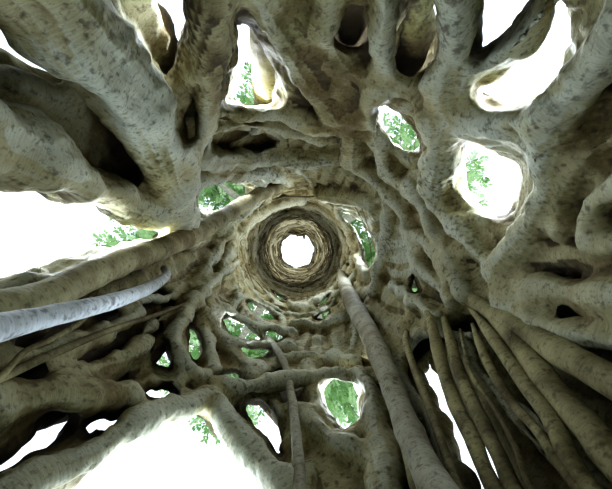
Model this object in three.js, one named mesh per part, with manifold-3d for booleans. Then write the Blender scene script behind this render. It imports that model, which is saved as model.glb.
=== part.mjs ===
// A strangler fig whose host tree has rotted away: a tall hollow lattice of fused roots that stands on
// the ground, seven boughs that spread from its open top, and a broad crown of leafy masses.
// Millimetres, +Z up. The origin is under the main leg of the great forked root, on the ground.
import * as THREE from "three";
import { mergeVertices } from "three/addons/utils/BufferGeometryUtils.js";
import Module from "manifold-3d";

const wasm = await Module();
wasm.setup();

// Driving sizes of the hollow
const EYE_Z = 900; // the hollow's centre line is straight, and passes this height over its middle
const LEAN = new THREE.Vector3(0.0149, -0.0218, 1); // the way that line leans as it rises
const TOP_Z = 12400; // the open top, where the boughs begin
const WALL_R = 1190; // middle of the wall from the centre line, at the ground, without the flare
const WALL_TAPER = 0.045; // how much that shrinks for each mm of height
const FLARE_R = 560; // how much further out the roots stand at the ground
const FLARE_Z = 700; // the height over which the flare dies away
const SEAM_HALF = 62; // half the wall's thickness where two columns fuse
const SEAM_FOOT = 60; // and how much thicker that is at the ground
const BULGE_IN = 62; // how far a column stands proud of the seam, towards the hollow
const BULGE_OUT = 130; // and away from it
const BULGE_FOOT = 190; // extra thickness outwards at the ground
const NARROW = 420; // a column narrower than this is thinner as well
const FOOT_Z = 1300; // the height over which the foot's extra thickness dies away
const COLLAR = 130; // extra thickness outwards just under the boughs
const COLLAR_Z = 800; // the height over which the collar's extra thickness dies away

const CLEAR = 0.3; // between neighbouring solids
const BURIED = 200; // how far a limb or cutter runs past the plane that trims it

// Boughs, and the limbs that fork from them
const BOUGHS = 7;
const BOUGH = {
  base: 195, // radius where it leaves the wall
  out: 70, // how far outside the wall's middle that is
  rise: 4550,
  reach: 4050,
  sides: 7,
  steps: 7,
  taper: [1, 0.92, 0.74, 0.56, 0.42],
};
const LIMBS = 5;
const LIMB = {
  base: 120,
  forkAt: 0.3, // where along its bough it forks off
  rise: 4300,
  rho: 2900, // its tip from the centre line
  turn: 24, // degrees from its bough's bearing, at the most
  sag: 180,
  sides: 6,
  steps: 5,
  taper: [1, 0.9, 0.75, 0.55],
};

// The space that each mass of leaves keeps to: half sizes, and how far its middle is above and beyond
// the tip of its limb
const OUTER = { across: 2950, deep: 2750, tall: 2150, above: 750, beyond: 900 };
const UPPER = { across: 2700, deep: 2500, tall: 2100, above: 800, beyond: 50 };
const STEM = {
  radii: [62, 46, 26], // beyond the limb's tip, whose own radius comes first
  straight: 260, // how far it carries on the limb's line
  from: 0.35, // the stretch that bears sprays
  to: 0.95,
  sides: 5,
  steps: 4,
};
const SPRAYS = 8; // sprays of five leaves in each mass
const SPRAY = {
  tries: 16, // turns tried for each spray before it is left out
  turn: 2.39996, // the golden angle, in radians
  retry: 0.3, // radians from one try to the next
  lifts: [-0.45, 0.85], // from low and level to high and steep
  liftStep: 0.12,
  roll: 0.25, // radians either way about its own twig
  least: 1100, // a shorter one is left out
  spare: 20, // clearance from limbs and from other masses
};
const LEAF = {
  length: 1850,
  share: 0.64, // the most of a spray's reach that its end leaf takes
  slender: 0.21, // half width, as a share of the length
  widest: 0.45, // where along the leaf it is widest
  thick: 30,
  spread: 0.9, // radians between a side leaf and its twig
  droops: [0.62, 0.27], // how far the side leaves hang below the twig's plane, pair by pair
};
const TWIG = {
  rings: [0, 0.42, 0.5, 0.92, 1], // side leaves stand in the second and the fourth stretch
  base: 28,
  tip: 16,
  arch: 0.3,
};
const OWN = { rim: 1.12, lead: 0.05 }; // how strictly a mass keeps out of its neighbours' space
const SEED = 7;

// Bearings are in degrees and grow anticlockwise as they are seen from below, from inside the hollow.
// The doorway's bearing faces -Y.
const FRONT = 246;
const FORKED_ROOT_FOOT = { bearing: 136, rho: 1640 };

const DEG = Math.PI / 180;
const lerp = THREE.MathUtils.lerp;

function wallRadius(z) {
  return WALL_R - WALL_TAPER * z + FLARE_R * Math.exp(-z / FLARE_Z);
}

function seamHalf(z) {
  return SEAM_HALF + SEAM_FOOT * Math.exp(-z / FOOT_Z);
}

function outward(bearing) {
  const turn = (bearing - FRONT) * DEG;
  return new THREE.Vector3(-Math.sin(turn), -Math.cos(turn), 0);
}

// A point at a bearing and height, rho from the hollow's leaning centre line, before the origin's shift.
function around(bearing, z, rho) {
  return new THREE.Vector3(0, 0, EYE_Z).addScaledVector(LEAN, z - EYE_Z).addScaledVector(outward(bearing), rho);
}

const origin = around(FORKED_ROOT_FOOT.bearing, 0, FORKED_ROOT_FOOT.rho);

function place(bearing, z, rho) {
  return around(bearing, z, rho).sub(origin);
}

// The same numbers on every run
function randomSource(seed) {
  let state = seed >>> 0;
  return () => {
    state = (Math.imul(state, 1664525) + 1013904223) >>> 0;
    return state / 4294967296;
  };
}

// Windows in the wall, where neighbouring roots part: [bearing, height, half width in degrees, half height,
// tilt in degrees per metre]. They slope up through the wall, along lines from the hollow's middle at EYE_Z.
const WINDOWS = {
  skylight: [14, 6300, 25, 630, 0],
  rightDiamond: [21, 3040, 12.5, 310, 0],
  rightEye: [49, 3610, 12, 280, -8],
  lowSlit: [38.5, 2470, 5, 300, 0],
  lowPin: [48, 2500, 2.4, 170, 0],
  lowOval: [60.5, 2720, 6, 300, 0],
  lowPocket: [76.5, 2820, 4, 200, 0],
  tallEye: [106, 3300, 9.5, 530, 0],
  greatSlope: [139, 5350, 12, 1020, -10],
  leftSlot: [176.5, 3200, 8, 850, 0],
  upperLeft: [239, 6050, 15, 370, 0],
  upperSpark: [290, 6170, 7.5, 250, 0],
  highEye: [254.5, 5300, 6.5, 265, 0],
  broadEye: [235, 4860, 12.5, 295, 0],
  slantEye: [246.5, 4490, 8, 190, 0],
  smallSpark: [258.5, 4120, 4, 140, 0],
  knotGap: [241.5, 3620, 3.8, 140, 0],
  twinHigh: [223, 3820, 4.4, 240, 0],
  twinLow: [218.5, 3320, 2.8, 190, 0],
  crackHigh: [225.5, 3000, 3.6, 120, 0],
  crackLow: [217, 2270, 2.4, 190, 0],
  kneeGap: [258, 3200, 7, 340, 0],
  frontOval: [287, 3550, 7.5, 420, 0],
  rodSlit: [315, 2820, 2.9, 400, 10],
  sideSpark: [342, 4120, 4.4, 150, 0],
};

// Arches between the roots' feet, with the same sizes. They go straight through.
const ARCHES = {
  doorway: [246, 1150, 19, 1850, 0],
  forkRecess: [137, 1850, 35, 1900, 0],
  footRight: [20, 650, 7, 950, 0],
  footBack: [60, 500, 8, 900, 0],
  footLeft: [201, 450, 7, 800, 0],
  footFront: [291, 350, 7, 850, 0],
  footSide: [336, 500, 7, 900, 0],
};

// Seams between columns: each one threads the windows and arches that it names.
const SEAMS = [
  { foot: 20, through: ["footRight", "rightDiamond", "skylight"] },
  { foot: 39, through: ["lowSlit", "rightEye"] },
  { foot: 60, through: ["footBack", "lowOval"] },
  { foot: 98, through: ["tallEye"] },
  { foot: 122, through: ["greatSlope"] },
  { foot: 150, through: [] },
  { foot: 177, through: ["leftSlot"] },
  { foot: 201, through: ["footLeft"] },
  { foot: 217, through: ["crackLow", "twinLow", "twinHigh", "broadEye", "upperLeft"] },
  { foot: 246, through: ["doorway", "knotGap", "slantEye", "highEye"] },
  { foot: 291, through: ["footFront", "frontOval", "upperSpark"] },
  { foot: 312, through: ["rodSlit"] },
  { foot: 336, through: ["footSide", "sideSpark"] },
];
const COLUMNS = SEAMS.length;
const TOP_SEAM = 20; // bearing of the first seam at the open top, where they are evenly spaced
const WALL_RINGS = { count: 14, power: 1.2 }; // close together at the foot, further apart higher up

// Small windows higher up, on every fourth seam
const HIGH_WINDOW = { z: 7900, half: 6, tall: 330, jitter: 260, every: 4 };

// Roots that stand free of the wall or cross it: [bearing, height, how far inside the wall's middle], radii
const ROOTS = {
  diagonal_root: {
    path: [[96, 6250, 60], [110, 5990, 150], [125, 5670, 215], [140, 5490, 240], [152, 5300, 250],
      [165, 4740, 250], [178, 4110, 250], [184, 3490, 250], [190, 2700, 260], [195, 1700, 330], [198, 0, 420]],
    radii: [75, 95, 105, 110, 115, 115, 110, 105, 108, 120, 150],
  },
  pale_pole: {
    path: [[188, 3250, 330], [195, 2620, 405], [197, 2330, 425], [195, 1870, 440], [193, 1000, 520],
      [192, 0, 640]],
    radii: [34, 48, 50, 52, 56, 66],
  },
  hanging_root: {
    path: [[335, 7400, 90], [320, 5900, 195], [308, 5030, 205], [304, 4500, 205], [303.5, 3700, 205],
      [304.5, 3250, 205], [302, 2650, 220], [302, 1900, 290], [300, 0, 440]],
    radii: [38, 50, 56, 60, 62, 64, 68, 76, 105],
  },
  leaning_stick: {
    path: [[251, 4650, 130], [262, 3800, 175], [266, 3350, 185], [268, 2690, 225], [271, 2200, 270],
      [273, 1200, 390], [274, 0, 580]],
    radii: [22, 26, 28, 28, 30, 33, 40],
  },
  arch_left: {
    path: [[237, 3230, 70], [232, 2790, 150], [228, 2400, 190], [223, 1900, 180], [217, 900, 120],
      [212, 0, 60]],
    radii: [110, 125, 125, 135, 165, 215],
  },
  arch_right: {
    path: [[239, 3180, 70], [248, 2850, 170], [259, 2550, 215], [269, 2360, 225], [279, 2050, 210],
      [284, 1000, 110], [285, 0, 40]],
    radii: [100, 105, 100, 98, 105, 150, 200],
  },
  brow_root: {
    path: [[241, 3260, 80], [250, 3320, 165], [262, 3520, 190], [275, 3570, 190], [289, 3590, 170],
      [301, 3760, 50]],
    radii: [75, 68, 64, 62, 62, 56],
  },
  slope_root: {
    path: [[97, 5900, 50], [110, 5080, 110], [125, 4470, 130], [138, 4030, 130], [149, 3800, 110]],
    radii: [75, 90, 85, 80, 70],
  },
};

// A row of thin leaning roots, side by side, just clear of the wall's inner face
const RODS = 5;
const ROD = {
  bearing: 311,
  step: 6.6, // degrees from one to the next
  lean: 13, // degrees that its top leads its middle by
  top: 4050,
  stagger: 260, // every other one is this much taller
  sunk: 70, // how far its top is sunk in the wall
  radii: [26, 42, 44, 48, 60],
};

// The great forked root: a stout body that parts into three legs
const FORKED_ROOT = [
  {
    path: [[168, 4900, 70], [163, 4300, 110], [154, 3650, 150], [147, 3150, 160]],
    radii: [120, 200, 285, 270],
  },
  {
    path: [[150, 3500, 150], [137, 3300, 160], [124, 2980, 150], [111, 2720, 110], [104, 2400, 80],
      [99, 1500, 40], [96, 0, 0]],
    radii: [190, 160, 140, 125, 130, 150, 195],
  },
  {
    path: [[149, 3500, 150], [143, 3120, 160], [138, 2600, 130], [137, 1700, 80], [136, 0, 60]],
    radii: [220, 200, 185, 195, 260],
  },
  {
    path: [[156, 3500, 150], [163, 2860, 130], [163, 2000, 90], [165, 900, 30], [167, 0, 0]],
    radii: [210, 160, 155, 170, 215],
  },
];

// A root that winds over the outside of the columns: [bearing, height] of its foot and top
const WINDING = { from: [70, 0], to: [148, 9400], radii: [165, 70], stops: 6, sway: 5 };

// Geometry helpers

// A closed surface through rings of points that all have the same number of points. Its faces are split
// by one diagonal, and the last face of each ring by the other, so that two columns meet along a seam.
function loft(rings) {
  const sides = rings[0].length;
  const points = rings.flat();
  const index = [];
  for (let i = 0; i + 1 < rings.length; i++)
    for (let j = 0; j < sides; j++) {
      const a = i * sides + j;
      const b = i * sides + ((j + 1) % sides);
      if (j < sides - 1) index.push(a, b, b + sides, a, b + sides, a + sides);
      else index.push(a, b, a + sides, b, b + sides, a + sides);
    }
  const last = (rings.length - 1) * sides;
  for (let j = 1; j + 1 < sides; j++) {
    index.push(0, j + 1, j);
    index.push(last, last + j, last + j + 1);
  }
  return closedSolid(points, index);
}

// A closed solid from its points and faces, facing out whichever way round they were listed
function closedSolid(points, index) {
  const geometry = mergeVertices(new THREE.BufferGeometry().setFromPoints(points).setIndex(index), 1e-3);
  const faces = new Uint32Array(geometry.index.array);
  const vertProperties = geometry.attributes.position.array;
  const solid = new wasm.Manifold(new wasm.Mesh({ numProp: 3, vertProperties, triVerts: faces }));
  if (solid.volume() >= 0) return solid;
  return new wasm.Manifold(new wasm.Mesh({ numProp: 3, vertProperties, triVerts: faces.reverse() }));
}

function largestOf(solid) {
  const bodies = solid.decompose();
  return bodies.reduce((best, body) => (body.volume() > best.volume() ? body : best));
}

// A value between the entries of a list, at a share from 0 to 1 of its length
function between(values, share) {
  const at = share * (values.length - 1);
  const i = Math.min(Math.floor(at), values.length - 2);
  return lerp(values[i], values[i + 1], at - i);
}

// A tapering limb of round section along a smooth curve. grow makes a slightly fatter copy, to cut others with.
function limbSolid(points, radii, sides, steps, grow = 0) {
  const curve = new THREE.CatmullRomCurve3(points, false, "centripetal");
  const frames = curve.computeFrenetFrames(steps, false);
  const rings = [];
  for (let i = 0; i <= steps; i++) {
    const centre = curve.getPointAt(i / steps);
    const radius = between(radii, curve.getUtoTmapping(i / steps)) + grow;
    const shift = grow * (Number(i === steps) - Number(i === 0));
    const ring = [];
    for (let j = 0; j < sides; j++) {
      const turn = (2 * Math.PI * j) / sides;
      ring.push(
        centre
          .clone()
          .addScaledVector(frames.normals[i], radius * Math.cos(turn))
          .addScaledVector(frames.binormals[i], radius * Math.sin(turn))
          .addScaledVector(frames.tangents[i], shift),
      );
    }
    rings.push(ring);
  }
  return loft(rings);
}

// Everything under a height, to cut a limb off flat
const WIDE = 9000;
const CORNERS = [[-WIDE, -WIDE], [WIDE, -WIDE], [WIDE, WIDE], [-WIDE, WIDE]];

function below(height) {
  return loft([height - 3000, height].map((z) => CORNERS.map(([x, y]) => new THREE.Vector3(x, y, z))));
}

// A root whose path ends on the ground is trimmed flat there.
function rootSolid({ path, radii }, sides, steps, grow = 0) {
  const points = path.map(([bearing, z, inside]) => place(bearing, z, wallRadius(z) - inside));
  const grounded = path.at(-1)[1] === 0;
  if (!grounded) return limbSolid(points, radii, sides, steps, grow);
  const under = points.at(-1).clone().setZ(-BURIED);
  return limbSolid([...points, under], [...radii, radii.at(-1)], sides, steps, grow).subtract(below(0));
}

// The wall

// Where seam k runs at a height. The seam after the last is the first, a full turn on.
function seamBearing(k, z) {
  const seam = SEAMS[k % COLUMNS];
  const turns = Math.floor(k / COLUMNS) * 360;
  const stops = [[0, seam.foot]];
  for (const name of seam.through) {
    const [bearing, height] = WINDOWS[name] ?? ARCHES[name];
    stops.push([height, bearing]);
  }
  stops.push([TOP_Z, TOP_SEAM + (360 / COLUMNS) * (k % COLUMNS)]);
  let i = 0;
  while (i < stops.length - 2 && z > stops[i + 1][0]) i++;
  const share = THREE.MathUtils.clamp((z - stops[i][0]) / (stops[i + 1][0] - stops[i][0]), 0, 1);
  return turns + lerp(stops[i][1], stops[i + 1][1], share * share * (3 - 2 * share));
}

const wallHeights = Array.from({ length: WALL_RINGS.count }, (_, i) => {
  return TOP_Z * Math.pow(i / (WALL_RINGS.count - 1), WALL_RINGS.power);
});

// Across a column from seam to seam: [share of the way, share of the bulge]
const INNER_SIDE = [[0, 0], [0.5, 1], [1, 0]];
const OUTER_SIDE = [[1, 0], [0.72, 0.9], [0.28, 0.9], [0, 0]];

function columnSolid(k) {
  const rings = wallHeights.map((z) => {
    const from = seamBearing(k, z);
    const to = seamBearing(k + 1, z);
    const arc = (to - from) * DEG * wallRadius(z);
    const gap = (CLEAR / 2 / arc) * (to - from);
    const slim = Math.min(1, arc / NARROW);
    const collar = COLLAR * Math.exp((z - TOP_Z) / COLLAR_Z);
    const bulgeOut = (BULGE_OUT + BULGE_FOOT * Math.exp(-z / FOOT_Z)) * slim + collar;
    const bearingAt = (share) => lerp(from + gap, to - gap, share);
    const inner = INNER_SIDE.map(([share, bulge]) =>
      place(bearingAt(share), z, wallRadius(z) - seamHalf(z) - BULGE_IN * slim * bulge),
    );
    const outer = OUTER_SIDE.map(([share, bulge]) =>
      place(bearingAt(share), z, wallRadius(z) + seamHalf(z) + bulgeOut * bulge),
    );
    return [...inner, ...outer];
  });
  return loft(rings);
}

function sidesFor(tall) {
  if (tall > 400) return 8;
  return tall > 200 ? 6 : 5;
}

// The outline of a gap, as steps in bearing and height from its middle
function outlineOf([, , half, tall]) {
  const sides = sidesFor(tall);
  const turns = Array.from({ length: sides }, (_, j) => (2 * Math.PI * (j + 0.5)) / sides);
  return turns.map((turn) => [half * Math.cos(turn), tall * Math.sin(turn)]);
}

const REACH = [0.35, 2.2]; // how far in and out a cutter goes, as shares of the wall's radius

function windowCutter(gap) {
  const [bearing, z, , , tilt] = gap;
  return loft(
    REACH.map((reach) =>
      outlineOf(gap).map(([turn, rise]) => {
        const rho = wallRadius(z + rise) * reach;
        return place(bearing + turn + (tilt * rise) / 1000, EYE_Z + (z + rise - EYE_Z) * reach, rho);
      }),
    ),
  );
}

// An arch stands open down to the ground.
function archCutter(gap) {
  const [bearing, z, half] = gap;
  const foot = -z - BURIED;
  const outline = [...outlineOf(gap).filter(([, rise]) => rise > 0), [-half, foot], [half, foot]];
  return loft(
    REACH.map((reach) =>
      outline.map(([turn, rise]) => place(bearing + turn, z + rise, wallRadius(Math.max(z + rise, 0)) * reach)),
    ),
  );
}

function highWindows() {
  const { z, half, tall, jitter, every } = HIGH_WINDOW;
  const random = randomSource(SEED);
  const found = [];
  for (let k = 0; k < COLUMNS; k += every) {
    const height = z + (random() - 0.5) * jitter;
    const wide = half * (0.8 + 0.4 * random());
    found.push([seamBearing(k, height), height, wide, tall * (0.75 + 0.5 * random()), 0]);
  }
  return found;
}

function windingSolid(grow) {
  const { from, to, radii, stops, sway } = WINDING;
  const path = Array.from({ length: stops + 1 }, (_, i) => {
    const share = 1 - i / stops;
    const z = lerp(from[1], to[1], share);
    const bearing = lerp(from[0], to[0], share) + sway * Math.sin(share * Math.PI * 3);
    const sunk = i === 0 ? WALL_R / 10 : 0; // only its top is buried in the wall
    return [bearing, z, sunk - seamHalf(z) - BULGE_OUT * 0.95 - BULGE_FOOT * Math.exp(-z / FOOT_Z)];
  });
  const thick = path.map((_, i) => lerp(radii[1], radii[0], i / stops));
  return rootSolid({ path, radii: thick }, 6, stops + 3, grow);
}

// Each rod is sunk into the wall at its top, and leans a little less towards its foot.
function rodSolid(k, grow) {
  const { step, lean, sunk, radii } = ROD;
  const bearing = ROD.bearing + step * k;
  const top = ROD.top + ROD.stagger * (k % 2);
  const standOff = (z) => seamHalf(z) + BULGE_IN + radii.at(-1) * 1.05;
  const path = [
    [bearing + lean * 1.4, top, sunk],
    [bearing + lean, top * 0.86, standOff(top)],
    [bearing + lean * 0.4, top * 0.69, standOff(top * 0.69)],
    [bearing, top * 0.4, standOff(top * 0.4)],
    [bearing - lean * 0.6, 0, standOff(0)],
  ];
  return rootSolid({ path, radii }, 5, path.length + 1, grow);
}

function trunkSolids() {
  const solids = new Map();
  const cutters = []; // fatter copies of what is already placed
  const add = (name, solid, cutter) => {
    let made = solid;
    for (const other of cutters) made = made.subtract(other);
    solids.set(name, largestOf(made));
    cutters.push(cutter);
  };
  const forked = (grow) =>
    wasm.Manifold.union(FORKED_ROOT.map((part) => rootSolid(part, 7, part.path.length + 1, grow)));
  add("forked_root", forked(0), forked(CLEAR));
  for (const [name, root] of Object.entries(ROOTS)) {
    const sides = Math.max(...root.radii) > 90 ? 7 : 5;
    const steps = root.path.length + 2;
    add(name, rootSolid(root, sides, steps), rootSolid(root, sides, steps, CLEAR));
  }
  for (let k = 0; k < RODS; k++) add("leaning_rod_" + (k + 1), rodSolid(k, 0), rodSolid(k, CLEAR));
  add("winding_root", windingSolid(0), windingSolid(CLEAR));
  const windows = [...Object.values(WINDOWS), ...highWindows()].map(windowCutter);
  const gaps = wasm.Manifold.union([...windows, ...Object.values(ARCHES).map(archCutter)]);
  const standing = wasm.Manifold.union(cutters);
  for (let k = 0; k < COLUMNS; k++) {
    const name = "root_column_" + String(k + 1).padStart(2, "0");
    solids.set(name, largestOf(columnSolid(k).subtract(gaps).subtract(standing)));
  }
  return solids;
}

// The crown

function boughBearing(k) {
  return TOP_SEAM + (360 / BOUGHS) * (k + 0.25);
}

function limbOf(limb) {
  const curve = new THREE.CatmullRomCurve3(limb.points, false, "centripetal");
  return { ...limb, curve, radii: limb.taper.map((share) => limb.base * share) };
}

function limbShape({ points, radii, sides, steps }, grow = 0) {
  return limbSolid(points, radii, sides, steps, grow);
}

function crownPlan() {
  const random = randomSource(SEED + 1);
  const jitter = (size) => (random() - 0.5) * 2 * size;
  const boughs = Array.from({ length: BOUGHS }, (_, k) => {
    const bearing = boughBearing(k);
    const swing = jitter(6);
    const rise = BOUGH.rise + jitter(400);
    const reach = BOUGH.reach + jitter(300);
    const rho = wallRadius(TOP_Z) + BOUGH.out;
    const points = [
      place(bearing, TOP_Z - BURIED / 2, rho),
      place(bearing, TOP_Z + rise * 0.1, rho + reach * 0.01),
      place(bearing + swing * 0.4, TOP_Z + rise * 0.33, rho + reach * 0.27),
      place(bearing + swing, TOP_Z + rise * 0.66, rho + reach * 0.66),
      place(bearing + swing, TOP_Z + rise * 0.9, rho + reach),
    ];
    return limbOf({ ...BOUGH, name: "bough_" + (k + 1), points, bearing: bearing + swing, rho: rho + reach });
  });
  const upper = Array.from({ length: LIMBS }, (_, k) => {
    const bearing = TOP_SEAM + (360 / LIMBS) * (k + 0.5);
    const parent = boughs[Math.round((bearing - LIMB.turn - boughBearing(0)) / (360 / BOUGHS)) % BOUGHS];
    const start = parent.curve.getPointAt(LIMB.forkAt + 0.04 * (k % 2));
    const tip = place(bearing, start.z + LIMB.rise + jitter(350), LIMB.rho);
    const knee = start.clone().lerp(tip, 0.35).setZ(lerp(start.z, tip.z, 0.35) - LIMB.sag);
    const points = [start, knee, start.clone().lerp(tip, 0.7), tip];
    return limbOf({ ...LIMB, name: "limb_" + (k + 1), points, parent, bearing });
  });
  const massOn = (limb, name, { across, deep, tall, above, beyond }) => {
    const { bearing, rho, curve } = limb;
    const centre = place(bearing, curve.getPointAt(1).z + above, rho + beyond);
    return { name, limb, bearing, centre, half: [deep, across, tall + jitter(120)] };
  };
  const masses = [
    ...boughs.map((bough, k) => massOn(bough, "leaf_mass_outer_" + (k + 1), OUTER)),
    ...upper.map((limb, k) => massOn(limb, "leaf_mass_upper_" + (k + 1), UPPER)),
  ];
  return { limbs: [...boughs, ...upper], masses };
}

// How far out a point is in a mass: 0 at its centre and 1 on its surface
function outness(mass, point) {
  const away = point.clone().sub(mass.centre);
  const out = outward(mass.bearing);
  const side = new THREE.Vector3(-out.y, out.x, 0);
  return Math.hypot(away.dot(out) / mass.half[0], away.dot(side) / mass.half[1], away.z / mass.half[2]);
}

// One spray: a three-sided twig that ends in a leaf, with two pairs of leaves along it. A leaf is drawn
// out of one face of its twig, so a spray is a single closed surface.
function sprayOf(root, way, length, leaf, roll) {
  const side = new THREE.Vector3(-way.y, way.x, 0).normalize().applyAxisAngle(way, roll);
  const face = new THREE.Vector3().crossVectors(way, side);
  const points = [];
  const index = [];
  const corners = [];
  const at = (from, ...moves) => {
    const point = from.clone();
    for (const [direction, distance] of moves) point.addScaledVector(direction, distance);
    return points.push(point) - 1;
  };
  const ring = (centre, wide, high) => [
    at(centre, [side, -wide]),
    at(centre, [side, wide]),
    at(centre, [face, high]),
  ];
  const join = (a, b, leafy) => {
    index.push(a[0], a[1], b[1], a[0], b[1], b[0]);
    index.push(a[2], b[2], b[1], a[2], b[0], b[2]);
    if (!leafy) index.push(a[1], a[2], b[1], a[2], a[0], b[0]);
  };
  const along = (share) =>
    root
      .clone()
      .addScaledVector(way, length * share)
      .addScaledVector(face, TWIG.arch * length * share * (1 - share));
  const sideLeaf = (a, b, right, droop) => {
    const turn = right ? LEAF.spread : -LEAF.spread;
    const heading = way
      .clone()
      .multiplyScalar(Math.cos(turn))
      .addScaledVector(side, Math.sin(turn))
      .addScaledVector(face, -droop)
      .normalize();
    const across = way.clone().addScaledVector(heading, -way.dot(heading)).normalize();
    const up = new THREE.Vector3().crossVectors(heading, across);
    if (up.dot(face) < 0) up.negate();
    const start = points[a[0]].clone().lerp(points[a[1]], 0.5);
    const middle = start.clone().addScaledVector(heading, leaf * LEAF.widest);
    const near = at(middle, [across, -leaf * LEAF.slender]);
    const top = at(middle, [up, LEAF.thick]);
    const far = at(middle, [across, leaf * LEAF.slender]);
    const end = at(start, [heading, leaf]);
    const base = right ? [a[1], a[2], b[1]] : [a[2], a[0], b[0]];
    const wide = right ? [near, top, far] : [top, near, far];
    for (let j = 0; j < 3; j++) {
      const k = (j + 1) % 3;
      index.push(base[j], base[k], wide[k], base[j], wide[k], wide[j], wide[j], wide[k], end);
    }
    corners.push(points[near], points[far], points[end]);
  };

  const rings = TWIG.rings.map((share) => {
    const thick = lerp(TWIG.base, TWIG.tip, share);
    return ring(along(share), thick, thick);
  });
  index.push(rings[0][0], rings[0][2], rings[0][1]);
  for (let i = 0; i + 1 < rings.length; i++) {
    const leafy = i % 2 === 1;
    join(rings[i], rings[i + 1], leafy);
    if (!leafy) continue;
    sideLeaf(rings[i], rings[i + 1], true, LEAF.droops[(i - 1) / 2]);
    sideLeaf(rings[i], rings[i + 1], false, LEAF.droops[(i - 1) / 2]);
  }
  const last = rings.at(-1);
  const wide = ring(along(1).addScaledVector(way, leaf * LEAF.widest), leaf * LEAF.slender, LEAF.thick);
  join(last, wide, false);
  const end = at(along(1), [way, leaf]);
  index.push(wide[0], wide[1], end, wide[1], wide[2], end, wide[2], wide[0], end);
  corners.push(points[wide[0]], points[wide[1]], points[end]);
  return { corners, solid: closedSolid(points, index) };
}

function massSolid(mass, plan, standing, random) {
  const own = (point, limit) => {
    const here = outness(mass, point);
    const nearer = (other) => other !== mass && outness(other, point) < here + OWN.lead;
    return here < limit && !plan.masses.some(nearer);
  };
  const { curve: limbCurve } = mass.limb;
  const heading = limbCurve.getTangentAt(1);
  const start = limbCurve.getPointAt(1).addScaledVector(heading, CLEAR);
  const stem = [
    start,
    start.clone().addScaledVector(heading, STEM.straight),
    start.clone().lerp(mass.centre, 0.6).addScaledVector(heading, STEM.straight / 2),
    start.clone().lerp(mass.centre, 1.25),
  ];
  const stemCurve = new THREE.CatmullRomCurve3(stem, false, "centripetal");
  const stemRadii = [mass.limb.radii.at(-1), ...STEM.radii];
  const stemOf = (grow) => limbSolid(stem, stemRadii, STEM.sides, STEM.steps, grow);
  const roomOfStem = stemOf(STEM.radii[0] * 1.5);

  // The spray that fits at a share of the way up the stem, or nothing
  const sprayAt = (share, turn, lift) => {
    const root = stemCurve.getPointAt(lerp(STEM.from, STEM.to, share));
    const flat = Math.sqrt(1 - lift * lift);
    const way = new THREE.Vector3(flat * Math.cos(turn), flat * Math.sin(turn), lift);
    let reach = 0;
    while (own(root.clone().addScaledVector(way, reach), 1)) reach += 100;
    if (reach < SPRAY.least) return null;
    const leaf = Math.min(LEAF.length, reach * LEAF.share) * (0.92 + 0.08 * random());
    const spray = sprayOf(root, way, reach - leaf, leaf, SPRAY.roll * (2 * random() - 1));
    return spray.corners.every((corner) => own(corner, OWN.rim)) ? spray.solid : null;
  };

  const sprays = [];
  const fits = (solid) =>
    standing.every((other) => other.minGap(solid, SPRAY.spare * 2) > SPRAY.spare) &&
    sprays.every((other) => other.intersect(solid).subtract(roomOfStem).isEmpty());
  for (let i = 0; i < SPRAYS; i++) {
    const share = (i + 0.5) / SPRAYS;
    for (let tried = 0; tried < SPRAY.tries; tried++) {
      const lift = lerp(...SPRAY.lifts, share) + SPRAY.liftStep * ((tried % 3) - 1);
      const solid = sprayAt(share, i * SPRAY.turn + SPRAY.retry * tried, lift);
      if (!solid || !fits(solid)) continue;
      sprays.push(solid);
      break;
    }
  }
  return largestOf(wasm.Manifold.union([stemOf(0), ...sprays]));
}

function crownSolids() {
  const plan = crownPlan();
  const solids = new Map();
  const made = [];
  for (const limb of plan.limbs) {
    const foot = limb.parent ? limbShape(limb.parent, CLEAR) : below(TOP_Z + CLEAR);
    const solid = largestOf(limbShape(limb).subtract(foot));
    solids.set(limb.name, solid);
    made.push(solid);
  }
  const random = randomSource(SEED + 2);
  for (const mass of plan.masses) {
    const solid = massSolid(mass, plan, made, random);
    solids.set(mass.name, solid);
    made.push(solid);
  }
  return solids;
}

// Materials
const BARK = { color: 0x8f8a72, roughness: 0.85, metalness: 0 };
const PALE_BARK = { color: 0xa9aca4, roughness: 0.7, metalness: 0 };
const FOLIAGE = { color: 0x3f6b2c, roughness: 0.5, metalness: 0 };
const PALE_NODES = ["pale_pole", "hanging_root", "leaning_stick"];

function materialOf(name) {
  if (name.startsWith("leaf_mass")) return new THREE.MeshStandardMaterial(FOLIAGE);
  return new THREE.MeshStandardMaterial(PALE_NODES.includes(name) ? PALE_BARK : BARK);
}

function meshOf(name, solid) {
  const { vertProperties, triVerts, numProp, numVert } = solid.getMesh();
  const positions = new Float32Array(numVert * 3);
  for (let i = 0; i < numVert; i++) positions.set(vertProperties.subarray(i * numProp, i * numProp + 3), i * 3);
  const geometry = new THREE.BufferGeometry()
    .setAttribute("position", new THREE.BufferAttribute(positions, 3))
    .setIndex(new THREE.BufferAttribute(triVerts, 1));
  geometry.computeVertexNormals();
  const mesh = new THREE.Mesh(geometry, materialOf(name));
  mesh.name = name;
  return mesh;
}

function groupOf(solids) {
  const group = new THREE.Group();
  for (const [name, solid] of solids) group.add(meshOf(name, solid));
  return group;
}

const fig = new THREE.Group();
fig.add(groupOf(trunkSolids()), groupOf(crownSolids()));

export default fig;
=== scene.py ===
"""A strangler fig whose host has rotted away, dressed for rendering from inside its hollow trunk.

The lattice of fused roots is one closed surface with its windows in it. The loose roots, boughs, limbs,
twigs and leaves are meshes of their own. Lengths are in metres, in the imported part's frame.
"""

from __future__ import annotations

import logging
import math
from collections.abc import Iterable, Iterator, Mapping, Sequence
from dataclasses import dataclass, field
from enum import Enum, IntEnum

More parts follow.
